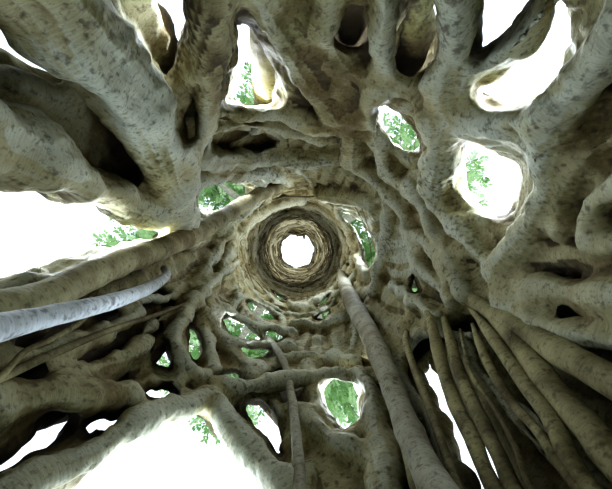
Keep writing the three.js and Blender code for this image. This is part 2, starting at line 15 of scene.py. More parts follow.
import bpy
import numpy as np
from mathutils import Matrix, Vector

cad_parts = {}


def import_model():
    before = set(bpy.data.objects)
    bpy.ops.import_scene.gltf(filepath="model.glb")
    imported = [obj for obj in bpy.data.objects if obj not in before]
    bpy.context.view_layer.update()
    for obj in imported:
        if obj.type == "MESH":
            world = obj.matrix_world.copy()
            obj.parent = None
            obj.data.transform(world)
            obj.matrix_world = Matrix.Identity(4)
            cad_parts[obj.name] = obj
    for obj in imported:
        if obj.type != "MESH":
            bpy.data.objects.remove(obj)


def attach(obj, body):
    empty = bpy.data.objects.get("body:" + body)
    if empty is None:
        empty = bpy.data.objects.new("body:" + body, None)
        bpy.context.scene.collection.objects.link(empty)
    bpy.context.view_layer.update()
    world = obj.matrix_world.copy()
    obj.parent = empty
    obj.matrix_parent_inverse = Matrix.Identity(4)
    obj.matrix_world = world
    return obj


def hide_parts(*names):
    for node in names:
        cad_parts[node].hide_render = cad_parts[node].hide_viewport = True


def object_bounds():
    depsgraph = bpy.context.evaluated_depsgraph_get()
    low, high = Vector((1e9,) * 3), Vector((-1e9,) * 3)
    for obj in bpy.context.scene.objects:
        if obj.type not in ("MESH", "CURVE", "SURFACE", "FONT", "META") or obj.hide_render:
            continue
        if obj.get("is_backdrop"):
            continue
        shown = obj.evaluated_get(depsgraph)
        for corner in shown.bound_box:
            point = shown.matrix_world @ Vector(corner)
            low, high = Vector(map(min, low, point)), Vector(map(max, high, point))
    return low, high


LOG = logging.getLogger("strangler_fig")
Array = np.ndarray
Numbers = Array | float
Random = np.random.Generator
Material = bpy.types.Material
UP = np.array([0.0, 0.0, 1.0])
Triple = tuple[float, float, float]

BODY = "root"


class Slot(Enum):
    """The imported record's material slots."""

    BARK = "bark"
    PALE_BARK = "pale_bark"
    LEAVES = "leaves"


class Seed(IntEnum):
    """What each source of chance starts from."""

    RIB_SWAY = 5
    RING_SWAY = 6
    CROWN = 8
    OUTSIDE_ROOTS = 23
    INSIDE_ROOTS = 29
    COARSE_BUMPS = 31
    FINE_BUMPS = 32
    RING_ROOTS = 37
    FIBRES = 41
    BOUGHS = 70
    LEAVES = 100


# Geometry shared by every sub-assembly


@dataclass(frozen=True)
class Hollow:
    """The hollow's straight, leaning centre line, and the wall of fused roots round it.

    Bearings are in degrees and grow anticlockwise as they are seen from below, from inside.
    """

    eye_z: float = 0.9
    lean: tuple[float, float] = (0.0149, -0.0218)
    top_z: float = 12.4
    wall_r: float = 1.19
    wall_taper: float = 0.045
    flare_r: float = 0.56
    flare_z: float = 0.7
    seam: float = 0.062
    seam_foot: float = 0.06
    foot_z: float = 1.3
    front: float = 246.0
    origin_bearing: float = 136.0
    origin_rho: float = 1.64

    def wall_radius(self, z: Numbers) -> Array:
        """The distance from the centre line to the middle of the wall at a height."""
        height = np.asarray(z, float)
        flare = self.flare_r * np.exp(-np.maximum(height, 0) / self.flare_z)
        return self.wall_r - self.wall_taper * height + flare

    def seam_half(self, z: Numbers) -> Array:
        """Half the wall's thickness where two columns fuse, at a height."""
        return self.seam + self.seam_foot * np.exp(-np.maximum(np.asarray(z, float), 0) / self.foot_z)

    def outward(self, bearing: Numbers) -> Array:
        """The level unit vector that points away from the centre line at a bearing."""
        turn = np.radians(np.asarray(bearing, float) - self.front)
        return np.stack([-np.sin(turn), -np.cos(turn), np.zeros_like(turn)], axis=-1)

    def around(self, bearing: Numbers, z: Numbers, rho: Numbers) -> Array:
        """A point at a bearing, height and distance from the centre line, before the origin's shift."""
        turn, height, out = np.broadcast_arrays(*(np.asarray(v, float) for v in (bearing, z, rho)))
        rise = height - self.eye_z
        base = np.stack([self.lean[0] * rise, self.lean[1] * rise, height], axis=-1)
        return base + self.outward(turn) * out[..., None]

    def place(self, bearing: Numbers, z: Numbers, rho: Numbers) -> Array:
        """The same point in the part's frame."""
        return self.around(bearing, z, rho) - self.around(self.origin_bearing, 0.0, self.origin_rho)

    def eye(self) -> Array:
        """The point of the centre line that the windows' sight lines start from."""
        return self.place(0.0, self.eye_z, 0.0)

    def sight_height(self, z: Array, rho: Array) -> Array:
        """The height at which the line from the eye through a point meets the middle of the wall.

        Args:
            z: Heights of the points.
            rho: Their distances from the centre line.

        Returns:
            The heights on the wall.
        """
        slope = (z - self.eye_z) / rho
        seen = (self.eye_z + self.wall_r * slope) / (1 + self.wall_taper * slope)
        for _ in range(3):
            seen = self.eye_z + slope * self.wall_radius(seen)
        return seen


class WaveNoise:
    """A smooth field of random bumps, the sum of plane waves in random directions."""

    def __init__(self, seed: int, wavelength: float, waves: int = 22) -> None:
        """Args:
        seed: Picks the waves.
        wavelength: The usual distance from bump to bump, in metres.
        waves: How many waves are summed.
        """
        random = np.random.default_rng(seed)
        ways = random.normal(size=(waves, 3))
        ways /= np.linalg.norm(ways, axis=1, keepdims=True)
        self.vectors = ways * (2 * math.pi / (wavelength * random.uniform(0.7, 1.5, (waves, 1))))
        self.phases = random.uniform(0, 2 * math.pi, waves)

    def at(self, points: Array) -> Array:
        """The field at some points, mostly between -1 and 1."""
        total = np.zeros(points.shape[:-1])
        for vector, phase in zip(self.vectors, self.phases):
            total += np.cos(points @ vector + phase)
        return total * math.sqrt(1 / len(self.phases))


class SmoothCurve:
    """A centripetal curve through some points, measured along its own length."""

    FINENESS = 20

    def __init__(self, knots: Array) -> None:
        """Args:
        knots: The points that the curve passes, one a row.
        """
        padded = np.vstack([2 * knots[0] - knots[1], knots, 2 * knots[-1] - knots[-2]])
        step = np.arange(self.FINENESS)[:, None] / self.FINENESS
        runs = []
        for p0, p1, p2, p3 in zip(padded, padded[1:], padded[2:], padded[3:]):
            d0, d1, d2 = (np.linalg.norm(b - a) ** 0.5 for a, b in ((p0, p1), (p1, p2), (p2, p3)))
            leave = ((p1 - p0) / d0 - (p2 - p0) / (d0 + d1) + (p2 - p1) / d1) * d1
            arrive = ((p2 - p1) / d1 - (p3 - p1) / (d1 + d2) + (p3 - p2) / d2) * d1
            cubic = 2 * p1 - 2 * p2 + leave + arrive
            square = -3 * p1 + 3 * p2 - 2 * leave - arrive
            runs.append(((cubic * step + square) * step + leave) * step + p1)
        self.points = np.vstack([*runs, knots[-1:]])
        self.knots = np.linspace(0, 1, len(self.points))
        steps = np.linalg.norm(np.diff(self.points, axis=0), axis=1)
        self.reach = np.concatenate([[0], np.cumsum(steps)])
        self.length = float(self.reach[-1])

    def at(self, share: Numbers) -> Array:
        """The points at shares of the curve's length."""
        along = np.asarray(share) * self.length
        return np.stack([np.interp(along, self.reach, self.points[:, i]) for i in range(3)], axis=-1)

    def knot_share(self, share: Numbers) -> Array:
        """How far through the list of knots the curve is at shares of its length."""
        return np.interp(np.asarray(share) * self.length, self.reach, self.knots)

    def heading(self, share: float) -> Array:
        """The unit vector that the curve runs along at a share of its length."""
        way = self.at(min(1.0, share + 0.01)) - self.at(max(0.0, share - 0.01))
        return way / np.linalg.norm(way)


def spread(values: Sequence[float], shares: Array) -> Array:
    """Values taken evenly between the entries of a list, at shares from 0 to 1 of it."""
    return np.interp(shares, np.linspace(0, 1, len(values)), values)


def turned(bearing: Numbers, middle: Numbers) -> Numbers:
    """Degrees from one bearing to another, from -180 to 180."""
    return (bearing - middle + 180) % 360 - 180


def unit(vectors: Array) -> Array:
    """Vectors, one a row, made one long."""
    return vectors / np.maximum(np.linalg.norm(vectors, axis=-1, keepdims=True), 1e-9)


def walls_of(here: Array, beside: Array, rise: int) -> Array:
    """The triangles between points of one ring and the same points of the ring above, rise numbers on."""
    return np.concatenate([
        np.stack([here, beside, beside + rise], 1), np.stack([here, beside + rise, here + rise], 1)
    ])


@dataclass
class Shape:
    """Points and triangles on their way to becoming a mesh.

    Attributes:
        points: One point a row.
        faces: Three point numbers a row.
        grain: For each point, the metres along the bark's grain.
        recess: For each point, from -1 standing proud to 1 deep in a recess, plus painted light and shade by
            region.
        tone: For each face, which of the piece's materials it takes.
    """

    points: Array
    faces: Array
    grain: Array
    recess: Array
    tone: Array

    @staticmethod
    def of(points: Array, faces: Array, grain: Array | None = None, tone: Array | int = 0) -> Shape:
        """A shape with no recesses, of one tone or with a tone for each face."""
        along = points[:, 2] if grain is None else grain
        return Shape(points, faces, along, np.zeros(len(points)), np.broadcast_to(tone, len(faces)))

    @staticmethod
    def joined(shapes: Sequence[Shape]) -> Shape:
        """Several shapes as one.

        Args:
            shapes: The shapes.

        Returns:
            One shape.
        """
        starts = np.cumsum([0, *(len(s.points) for s in shapes[:-1])])
        return Shape(
            np.concatenate([s.points for s in shapes]),
            np.concatenate([s.faces + start for s, start in zip(shapes, starts)]),
            np.concatenate([s.grain for s in shapes]),
            np.concatenate([s.recess for s in shapes]),
            np.concatenate([s.tone for s in shapes]),
        )

    def normals(self) -> Array:
        """The smooth normal at each point."""
        a, b, c = (self.points[self.faces[:, i]] for i in range(3))
        flat = np.cross(b - a, c - a)
        sums = [
            sum(np.bincount(self.faces[:, i], flat[:, axis], len(self.points)) for i in range(3))
            for axis in range(3)
        ]
        return unit(np.stack(sums, axis=-1))

    def part(self, chosen: Array) -> tuple[Shape, Array]:
        """Some of the faces as a shape of their own.

        Args:
            chosen: True for each face that is wanted.

        Returns:
            The smaller shape, and the numbers of the points that it kept.
        """
        kept, faces = np.unique(self.faces[chosen], return_inverse=True)
        faces = faces.reshape(-1, 3)
        return Shape(self.points[kept], faces, self.grain[kept], self.recess[kept], self.tone[chosen]), kept

    def to_object(self, name: str, materials: Sequence[Material],
                  normals: Array | None = None) -> bpy.types.Object:
        """Makes the Blender object.

        Args:
            name: The piece's name.
            materials: Its materials, in the order of the tones.
            normals: The normal at each point, where the mesh's own aren't wanted.

        Returns:
            The object, linked to the scene.
        """
        mesh = bpy.data.meshes.new(name)
        mesh.vertices.add(len(self.points))
        mesh.vertices.foreach_set("co", self.points.astype(np.float32).ravel())
        mesh.loops.add(self.faces.size)
        mesh.loops.foreach_set("vertex_index", self.faces.astype(np.int32).ravel())
        mesh.polygons.add(len(self.faces))
        mesh.polygons.foreach_set("loop_start", np.arange(0, self.faces.size, 3, dtype=np.int32))
        for material in materials:
            mesh.materials.append(material)
        mesh.polygons.foreach_set("material_index", self.tone.astype(np.int32))
        mesh.update(calc_edges=True)
        mesh.shade_smooth()
        for key, values in (("grain", self.grain), ("recess", self.recess)):
            mesh.attributes.new(key, "FLOAT", "POINT").data.foreach_set("value", values.astype(np.float32))
        if normals is not None:
            mesh.normals_split_custom_set_from_vertices(normals.tolist())
        made = bpy.data.objects.new(name, mesh)
        bpy.context.scene.collection.objects.link(made)
        return made


def dress(piece: bpy.types.Object, slot: Slot, nodes: Iterable[str] = ()) -> None:
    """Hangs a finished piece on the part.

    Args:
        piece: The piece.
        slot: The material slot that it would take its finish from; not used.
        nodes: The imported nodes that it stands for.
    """
    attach(piece, BODY)
    if nodes:
        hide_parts(*nodes)
    LOG.info("%s: %d triangles", piece.name, len(piece.data.polygons))


@dataclass(frozen=True)
class TubeStyle:
    """How finely a limb is made, and how lumpy its bark is.

    Attributes:
        sides, step: Points round each ring, and metres from ring to ring.
        lump, lump_length: Bumps as a share of the radius, and metres from one to the next.
        rings, ring_gap: Height of fine rings round it, as a share of the radius, and metres between them.
    """

    sides: int
    step: float
    lump: float = 0.07
    lump_length: float = 0.35
    rings: float = 0.0
    ring_gap: float = 0.11

    def shape(self, curve: SmoothCurve, radii: Sequence[float], seed: int = 0) -> Shape:
        """A tapering limb of round section along a curve, closed at both ends.

        Args:
            curve: The limb's middle line.
            radii: Its radius at each of the curve's knots.
            seed: Picks the bumps.

        Returns:
            The limb's surface.
        """
        rings = max(3, int(curve.length / self.step) + 1)
        shares = np.linspace(0, 1, rings)
        middle = curve.at(shares)
        radius = spread(radii, curve.knot_share(shares))
        forward = unit(np.gradient(middle, axis=0))
        side = np.zeros_like(forward)
        start = np.cross(forward[0], (0.3, 0.5, 0.81))
        for i, way in enumerate(forward):
            start = start - way * (start @ way)
            start /= np.linalg.norm(start)
            side[i] = start
        up = np.cross(forward, side)
        turns = np.linspace(0, 2 * math.pi, self.sides, endpoint=False)
        ring = side[:, None] * np.cos(turns)[:, None] + up[:, None] * np.sin(turns)[:, None]
        points = middle[:, None] + ring * radius[:, None, None]
        if self.lump:
            coarse = WaveNoise(seed + 11, self.lump_length).at(points)
            fine = WaveNoise(seed + 12, self.lump_length / 4).at(points)
            ripple = np.sin(shares[:, None] * curve.length * 2 * math.pi / self.ring_gap + 3 * coarse)
            bumps = self.lump * (coarse + 0.4 * fine) + self.rings * ripple
            points = middle[:, None] + ring * (radius[:, None] * (1 + bumps))[..., None]
        along = np.repeat(shares * curve.length, self.sides)
        first = np.arange(rings - 1)[:, None] * self.sides
        here = (first + np.arange(self.sides)).ravel()
        beside = (first + (np.arange(self.sides) + 1) % self.sides).ravel()
        fan = np.arange(1, self.sides - 1)
        last = (rings - 1) * self.sides
        foot = np.stack([0 * fan, fan + 1, fan], 1)
        tip = np.stack([0 * fan, fan, fan + 1], 1) + last
        faces = np.concatenate([walls_of(here, beside, self.sides), foot, tip])
        return Shape.of(points.reshape(-1, 3), faces, along)


# Finishes


@dataclass(frozen=True)
class Signal:
    """A number, vector or colour that leaves a node's socket. Operators on numbers add Math nodes."""

    graph: NodeGraph
    socket: bpy.types.NodeSocket

    def __add__(self, other: Signal | float) -> Signal:
        """The sum."""
        return self.graph.maths("ADD", self, other)

    def __radd__(self, other: float) -> Signal:
        """The sum, number first."""
        return self.graph.maths("ADD", other, self)

    def __sub__(self, other: Signal | float) -> Signal:
        """The difference."""
        return self.graph.maths("SUBTRACT", self, other)

    def __rsub__(self, other: float) -> Signal:
        """The difference, number first."""
        return self.graph.maths("SUBTRACT", other, self)

    def __mul__(self, other: Signal | float) -> Signal:
        """The product."""
        return self.graph.maths("MULTIPLY", self, other)

    def __rmul__(self, other: float) -> Signal:
        """The product, number first."""
        return self.graph.maths("MULTIPLY", other, self)


class NodeGraph:
    """The nodes of one material."""

    def __init__(self, name: str) -> None:
        """Args:
        name: The material's name.
        """
        self.material = bpy.data.materials.new(name)
        self.material.use_nodes = True
        self.tree = self.material.node_tree
        self.tree.nodes.clear()
        self.position = self.node("ShaderNodeTexCoord", output="Object")

    def node(self, kind: str, settings: Mapping[str, object] | None = None,
             sockets: Mapping[str | int, object] | None = None, output: str | int = 0) -> Signal:
        """Adds one node.

        Args:
            kind: The node's type.
            settings: Its properties, which are set first.
            sockets: Values or signals for its inputs, by name or number.
            output: Which of its outputs is wanted.

        Returns:
            The signal that leaves it.
        """
        made = self.tree.nodes.new(kind)
        for key, value in (settings or {}).items():
            setattr(made, key, value)
        for key, value in (sockets or {}).items():
            self._feed(made.inputs[key], value)
        return Signal(self, made.outputs[output])

    def _feed(self, socket: bpy.types.NodeSocket, value: object) -> None:
        """Links a signal to an input, or sets the input's own value."""
        if isinstance(value, Signal):
            self.tree.links.new(value.socket, socket)
        elif socket.type == "RGBA":
            socket.default_value = (*value, 1.0)
        else:
            socket.default_value = value

    def maths(self, operation: str, left: Signal | float, right: Signal | float) -> Signal:
        """A Math node."""
        return self.node("ShaderNodeMath", {"operation": operation}, {0: left, 1: right})

    def mix(self, share: Signal | float, first: Signal | Triple, second: Signal | Triple) -> Signal:
        """A colour between two others."""
        return self.node("ShaderNodeMix", {"data_type": "RGBA"}, {0: share, 6: first, 7: second}, 2)

    def mask(self, value: Signal, low: float, high: float) -> Signal:
        """A soft step from 0, where a value is low, to 1, where it is high."""
        sockets = {"Value": value, "From Min": low, "From Max": high}
        return self.node("ShaderNodeMapRange", {"interpolation_type": "SMOOTHSTEP"}, sockets)

    def noise(self, scale: float, detail: float = 3.0, along: Signal | None = None) -> Signal:
        """A noise texture over the piece.

        Args:
            scale: Bumps for each metre.
            detail: How many finer layers it has.
            along: A fourth coordinate, which draws the pattern out across it.

        Returns:
            The noise, about 0.5 on average.
        """
        sockets = {"Vector": self.position, "Scale": scale, "Detail": detail}
        if along is not None:
            sockets["W"] = along
        settings = {"noise_dimensions": "3D" if along is None else "4D"}
        return self.node("ShaderNodeTexNoise", settings, sockets)

    def attribute(self, name: str) -> Signal:
        """A number that the mesh holds at each point."""
        return self.node("ShaderNodeAttribute", {"attribute_name": name}, output="Fac")

    def finish(self, sockets: Mapping[str, object]) -> Material:
        """Adds the surface and its output, and returns the material."""
        surface = self.node("ShaderNodeBsdfPrincipled", sockets=sockets)
        output = self.tree.nodes.new("ShaderNodeOutputMaterial")
        self.tree.links.new(surface.socket, output.inputs["Surface"])
        return self.material


@dataclass(frozen=True)
class BarkFinish:
    """Fig bark from a lit and a shaded copy of its colour, with wrinkles across its grain, algae, stains,
    painted shade in recesses and pale ledges that are partly a painted highlight.

    The algae take a share of it, mossy, and the relief is as deep as wrinkle, in metres.
    """

    name: str
    light: Triple
    shade: Triple
    moss: Triple = (0.19, 0.2, 0.08)
    # A dark brown for real stains and flecks, and for painted shade in recesses; it also darkens the wrinkle
    # troughs.
    stain_and_shade: Triple = (0.04, 0.027, 0.013)
    # The pale of the ledges, partly a paler bark and partly a painted highlight.
    pale: Triple = (0.5, 0.53, 0.46)
    mossy: float = 0.5
    wrinkle: float = 0.013
    roughness: float = 0.72

    def material(self) -> Material:
        """Builds the material."""
        graph = NodeGraph(self.name)
        grain = graph.attribute("grain")
        recess = graph.attribute("recess")
        broad = graph.noise(0.9, 2.0)
        patch = graph.noise(5.0, 7.0)
        fine = graph.noise(70.0, 2.0)
        crumbs = graph.noise(32.0, 6.0)
        wrinkles = graph.noise(14.0, 2.0, grain * 14.0)
        streaks = graph.noise(2.4, 4.0, grain * 0.3)

        # The lit and the shaded copy of the bark's colour, mixed in random patches and leaning to the shaded
        # copy in recesses: painted shade.
        lit_share = graph.mask(0.6 * patch + 0.4 * broad - 0.2 * recess, 0.4, 0.6)
        colour = graph.mix(lit_share, self.shade, self.light)
        algae = graph.mask(streaks, 0.48, 0.68) * self.mossy
        colour = graph.mix(algae, colour, self.moss)
        # Pale on proud ledges and where the regional tone is below 0: partly a paler bark, partly a painted
        # highlight.
        pale_and_lit = graph.mask(0.6 * patch - 0.7 * recess, 0.5, 1.1)
        colour = graph.mix(0.9 * pale_and_lit, colour, self.pale)
        colour = graph.mix(0.15 * graph.mask(wrinkles, 0.58, 0.4), colour, self.stain_and_shade)
        colour = graph.mix(0.3 * graph.mask(fine, 0.58, 0.75), colour, self.light)
        colour = graph.mix(0.35 * graph.mask(fine, 0.46, 0.3), colour, self.stain_and_shade)
        colour = graph.mix(0.6 * graph.mask(crumbs + 0.4 * streaks, 0.74, 0.92), colour, self.stain_and_shade)
        # Dark in recesses and where the regional tone is above 0: partly real staining, partly painted
        # shade.
        stain_and_recess_shade = graph.mask(recess + 0.9 * patch + 0.5 * crumbs, 0.85, 1.35)
        colour = graph.mix(0.9 * stain_and_recess_shade, colour, self.stain_and_shade)

        height = 0.14 * wrinkles + 0.14 * fine + 0.35 * patch + 0.35 * crumbs
        bump = graph.node("ShaderNodeBump", sockets={"Distance": self.wrinkle, "Height": height})
        rough = self.roughness + 0.18 * patch
        return graph.finish({"Base Color": colour, "Roughness": rough, "Normal": bump})


@dataclass(frozen=True)
class PlainFinish:
    """One colour, a little smoother and rougher from place to place."""

    name: str
    tone: Triple
    roughness: float = 0.48
    uneven: float = 0.2

    def material(self) -> Material:
        """Builds the material."""
        graph = NodeGraph(self.name)
        rough = self.roughness + self.uneven * graph.noise(3.0, 2.0)
        return graph.finish({"Base Color": self.tone, "Roughness": rough})


OLD_BARK = BarkFinish("old_bark", (0.4, 0.375, 0.235), (0.165, 0.13, 0.055))
PALE_ROOT = BarkFinish("pale_root", (0.58, 0.63, 0.68), (0.4, 0.43, 0.44), mossy=0.1, wrinkle=0.004)
HUNG_ROOT = BarkFinish("hung_root", (0.4, 0.4, 0.33), (0.22, 0.2, 0.14), mossy=0.2, wrinkle=0.005)
ROD_BARK = BarkFinish("rod_bark", (0.4, 0.37, 0.22), (0.12, 0.098, 0.045), mossy=0.25, wrinkle=0.006)
FIBRE = BarkFinish("old_fibre", (0.44, 0.42, 0.31), (0.12, 0.1, 0.06), mossy=0.15, wrinkle=0.003)
BOUGH_BARK = BarkFinish("bough_bark", (0.42, 0.41, 0.33), (0.28, 0.26, 0.18), mossy=0.3)
TWIG_BARK = PlainFinish("twig_bark", (0.24, 0.21, 0.15), 0.75)
PALE_FLOOR = PlainFinish("pale_floor", (0.78, 0.79, 0.76), 0.9, uneven=0.0)
LEAF_GREENS = (
    PlainFinish("leaf_deep", (0.21, 0.4, 0.14)),
    PlainFinish("leaf_mid", (0.33, 0.53, 0.22)),
    PlainFinish("leaf_fresh", (0.47, 0.67, 0.34)),
    PlainFinish("leaf_pale", (0.61, 0.79, 0.49)),
)
GREEN_SHARES = (0.16, 0.32, 0.32, 0.2)


# The lattice of fused roots


@dataclass(frozen=True)
class Gap:
    """A gap in the wall: an ellipse, or a closed outline.

    Attributes:
        name: What it is called.
        bearing, z: Its middle, in degrees and metres.
        half, tall: Half its width, in degrees, and half its height.
        outline: Its corners as the eye sees them, each a bearing and a height.
        depth: How far outside the wall's middle it reaches, where it doesn't go through.
    """

    name: str
    bearing: float
    z: float
    half: float
    tall: float
    outline: tuple[tuple[float, float], ...] = ()
    depth: float | None = None

    def oval_distance(self, turn: Array, rise: Array, radius: Array) -> Array:
        """How far outside the ellipse some places are, on the wall.

        Args:
            turn: Degrees from the gap's middle.
            rise: Metres above it.
            radius: The wall's radius there.

        Returns:
            Metres, less than 0 inside the gap.
        """
        across = np.abs(np.radians(turn) * radius) + 1e-4
        up = np.abs(rise) + 1e-4
        wide = math.radians(self.half) * float(np.mean(radius))
        size = ((across / wide) ** 2 + (up / self.tall) ** 2) ** 0.5
        steep = np.hypot(across / wide / wide, up / self.tall / self.tall) * size ** -1.0
        return (size - 1) / np.maximum(steep, 1e-3)

    def outline_distance(self, turn: Array, rise: Array, radius: float) -> Array:
        """The same for the outline, which is a smooth closed curve through its corners.

        Args:
            turn: Degrees from the gap's middle, one a column.
            rise: Metres above it, for each row and distance from the wall's middle.
            radius: The wall's radius at the gap.

        Returns:
            Metres, less than 0 inside the gap.
        """
        corners = np.array([
            (math.radians(turned(bearing, self.bearing)) * radius, z - self.z, 0.0)
            for bearing, z in self.outline
        ])
        fine = SmoothCurve.FINENESS
        curve = SmoothCurve(np.vstack([corners[-1:], corners, corners[:2]]))
        start = curve.points[fine:fine * (len(corners) + 1):4, :2]
        span = np.roll(start, -1, axis=0) - start
        levels = np.linspace(rise.min(), rise.max(), 240)
        across, up = np.meshgrid(np.radians(turn) * radius, levels, indexing="ij")
        place = np.stack([across, up], axis=-1)[..., None, :] - start
        share = np.clip((place * span).sum(axis=-1) / (span * span).sum(axis=-1), 0, 1)
        away = np.linalg.norm(place - share[..., None] * span, axis=-1).min(axis=-1)
        above = place[..., 1] < 0
        crosses = (above != (place[..., 1] < span[:, 1]))
        left = place[..., 0] < span[:, 0] * place[..., 1] / np.where(span[:, 1] == 0, 1e-9, span[:, 1])
        inside = (crosses & left).sum(axis=-1) % 2 == 1
        table = np.where(inside, -away, away)
        return np.stack([np.interp(rise, levels, row) for row in table])


def gap_of(name: str, bearing: float, z: float, *corners: tuple[float, float], depth: float | None = None
           ) -> Gap:
    """A gap with an outline.

    Args:
        name: What it is called.
        bearing, z: Its middle, in degrees and metres.
        corners: The bearing and height of each corner.
        depth: How deep it is, where it doesn't go through.

    Returns:
        The gap.
    """
    half = max(abs(turned(corner[0], bearing)) for corner in corners)
    tall = max(abs(corner[1] - z) for corner in corners)
    return Gap(name, bearing, z, half, tall, outline=corners, depth=depth)


@dataclass(frozen=True)
class Seam:
    """A line along which two columns fuse: its bearing at the ground, and the gaps it threads."""

    foot: float
    through: tuple[str, ...] = ()


@dataclass(frozen=True)
class Strand:
    """A root fused to the wall.

    Attributes:
        path: Its bearing, height and distance inside the wall's middle, at each knot.
        radii: Its radii, spread evenly over the knots.
        seen: True where the heights are those of the sight line above the eye.
        blend: How softly it runs into the wall.
    """

    path: tuple[Triple, ...]
    radii: tuple[float, ...]
    seen: bool = False
    blend: float = 0.06

    def curve(self, hollow: Hollow) -> SmoothCurve:
        """Its middle line in the part's frame.

        Args:
            hollow: The hollow that its path is given round.

        Returns:
            The curve.
        """
        bearing, height, inside = np.array(self.path).T
        if self.seen:
            wall = hollow.wall_radius(hollow.eye_z + height)
            height = hollow.eye_z + height * (wall - inside) / wall
        return SmoothCurve(hollow.place(bearing, height, hollow.wall_radius(height) - inside))


def path_of(bearings: Array, heights: Array, insides: Array) -> tuple[Triple, ...]:
    """A strand's path from its bearings, heights and distances inside the wall's middle."""
    return tuple(zip(bearings.tolist(), heights.tolist(), insides.tolist()))


def strip(girths: tuple[float, ...], *places: tuple[float, float], inside: float = 0.12) -> Strand:
    """A strand laid out as the eye sees it on the wall.

    Args:
        girths: Its diameters, in centimetres.
        places: Bearing and height of the sight line above the eye, at each knot.
        inside: How far inside the wall's middle it runs.

    Returns:
        The strand.
    """
    path = tuple((bearing, height, inside) for bearing, height in places)
    return Strand(path, tuple(girth / 100 / 2 for girth in girths), seen=True, blend=0.07)


def root_of(radii: tuple[float, ...], *path: Triple, seen: bool = False, blend: float = 0.06) -> Strand:
    """A strand from its radii, in millimetres, and its path."""
    return Strand(path, tuple(radius / 1000 for radius in radii), seen, blend)


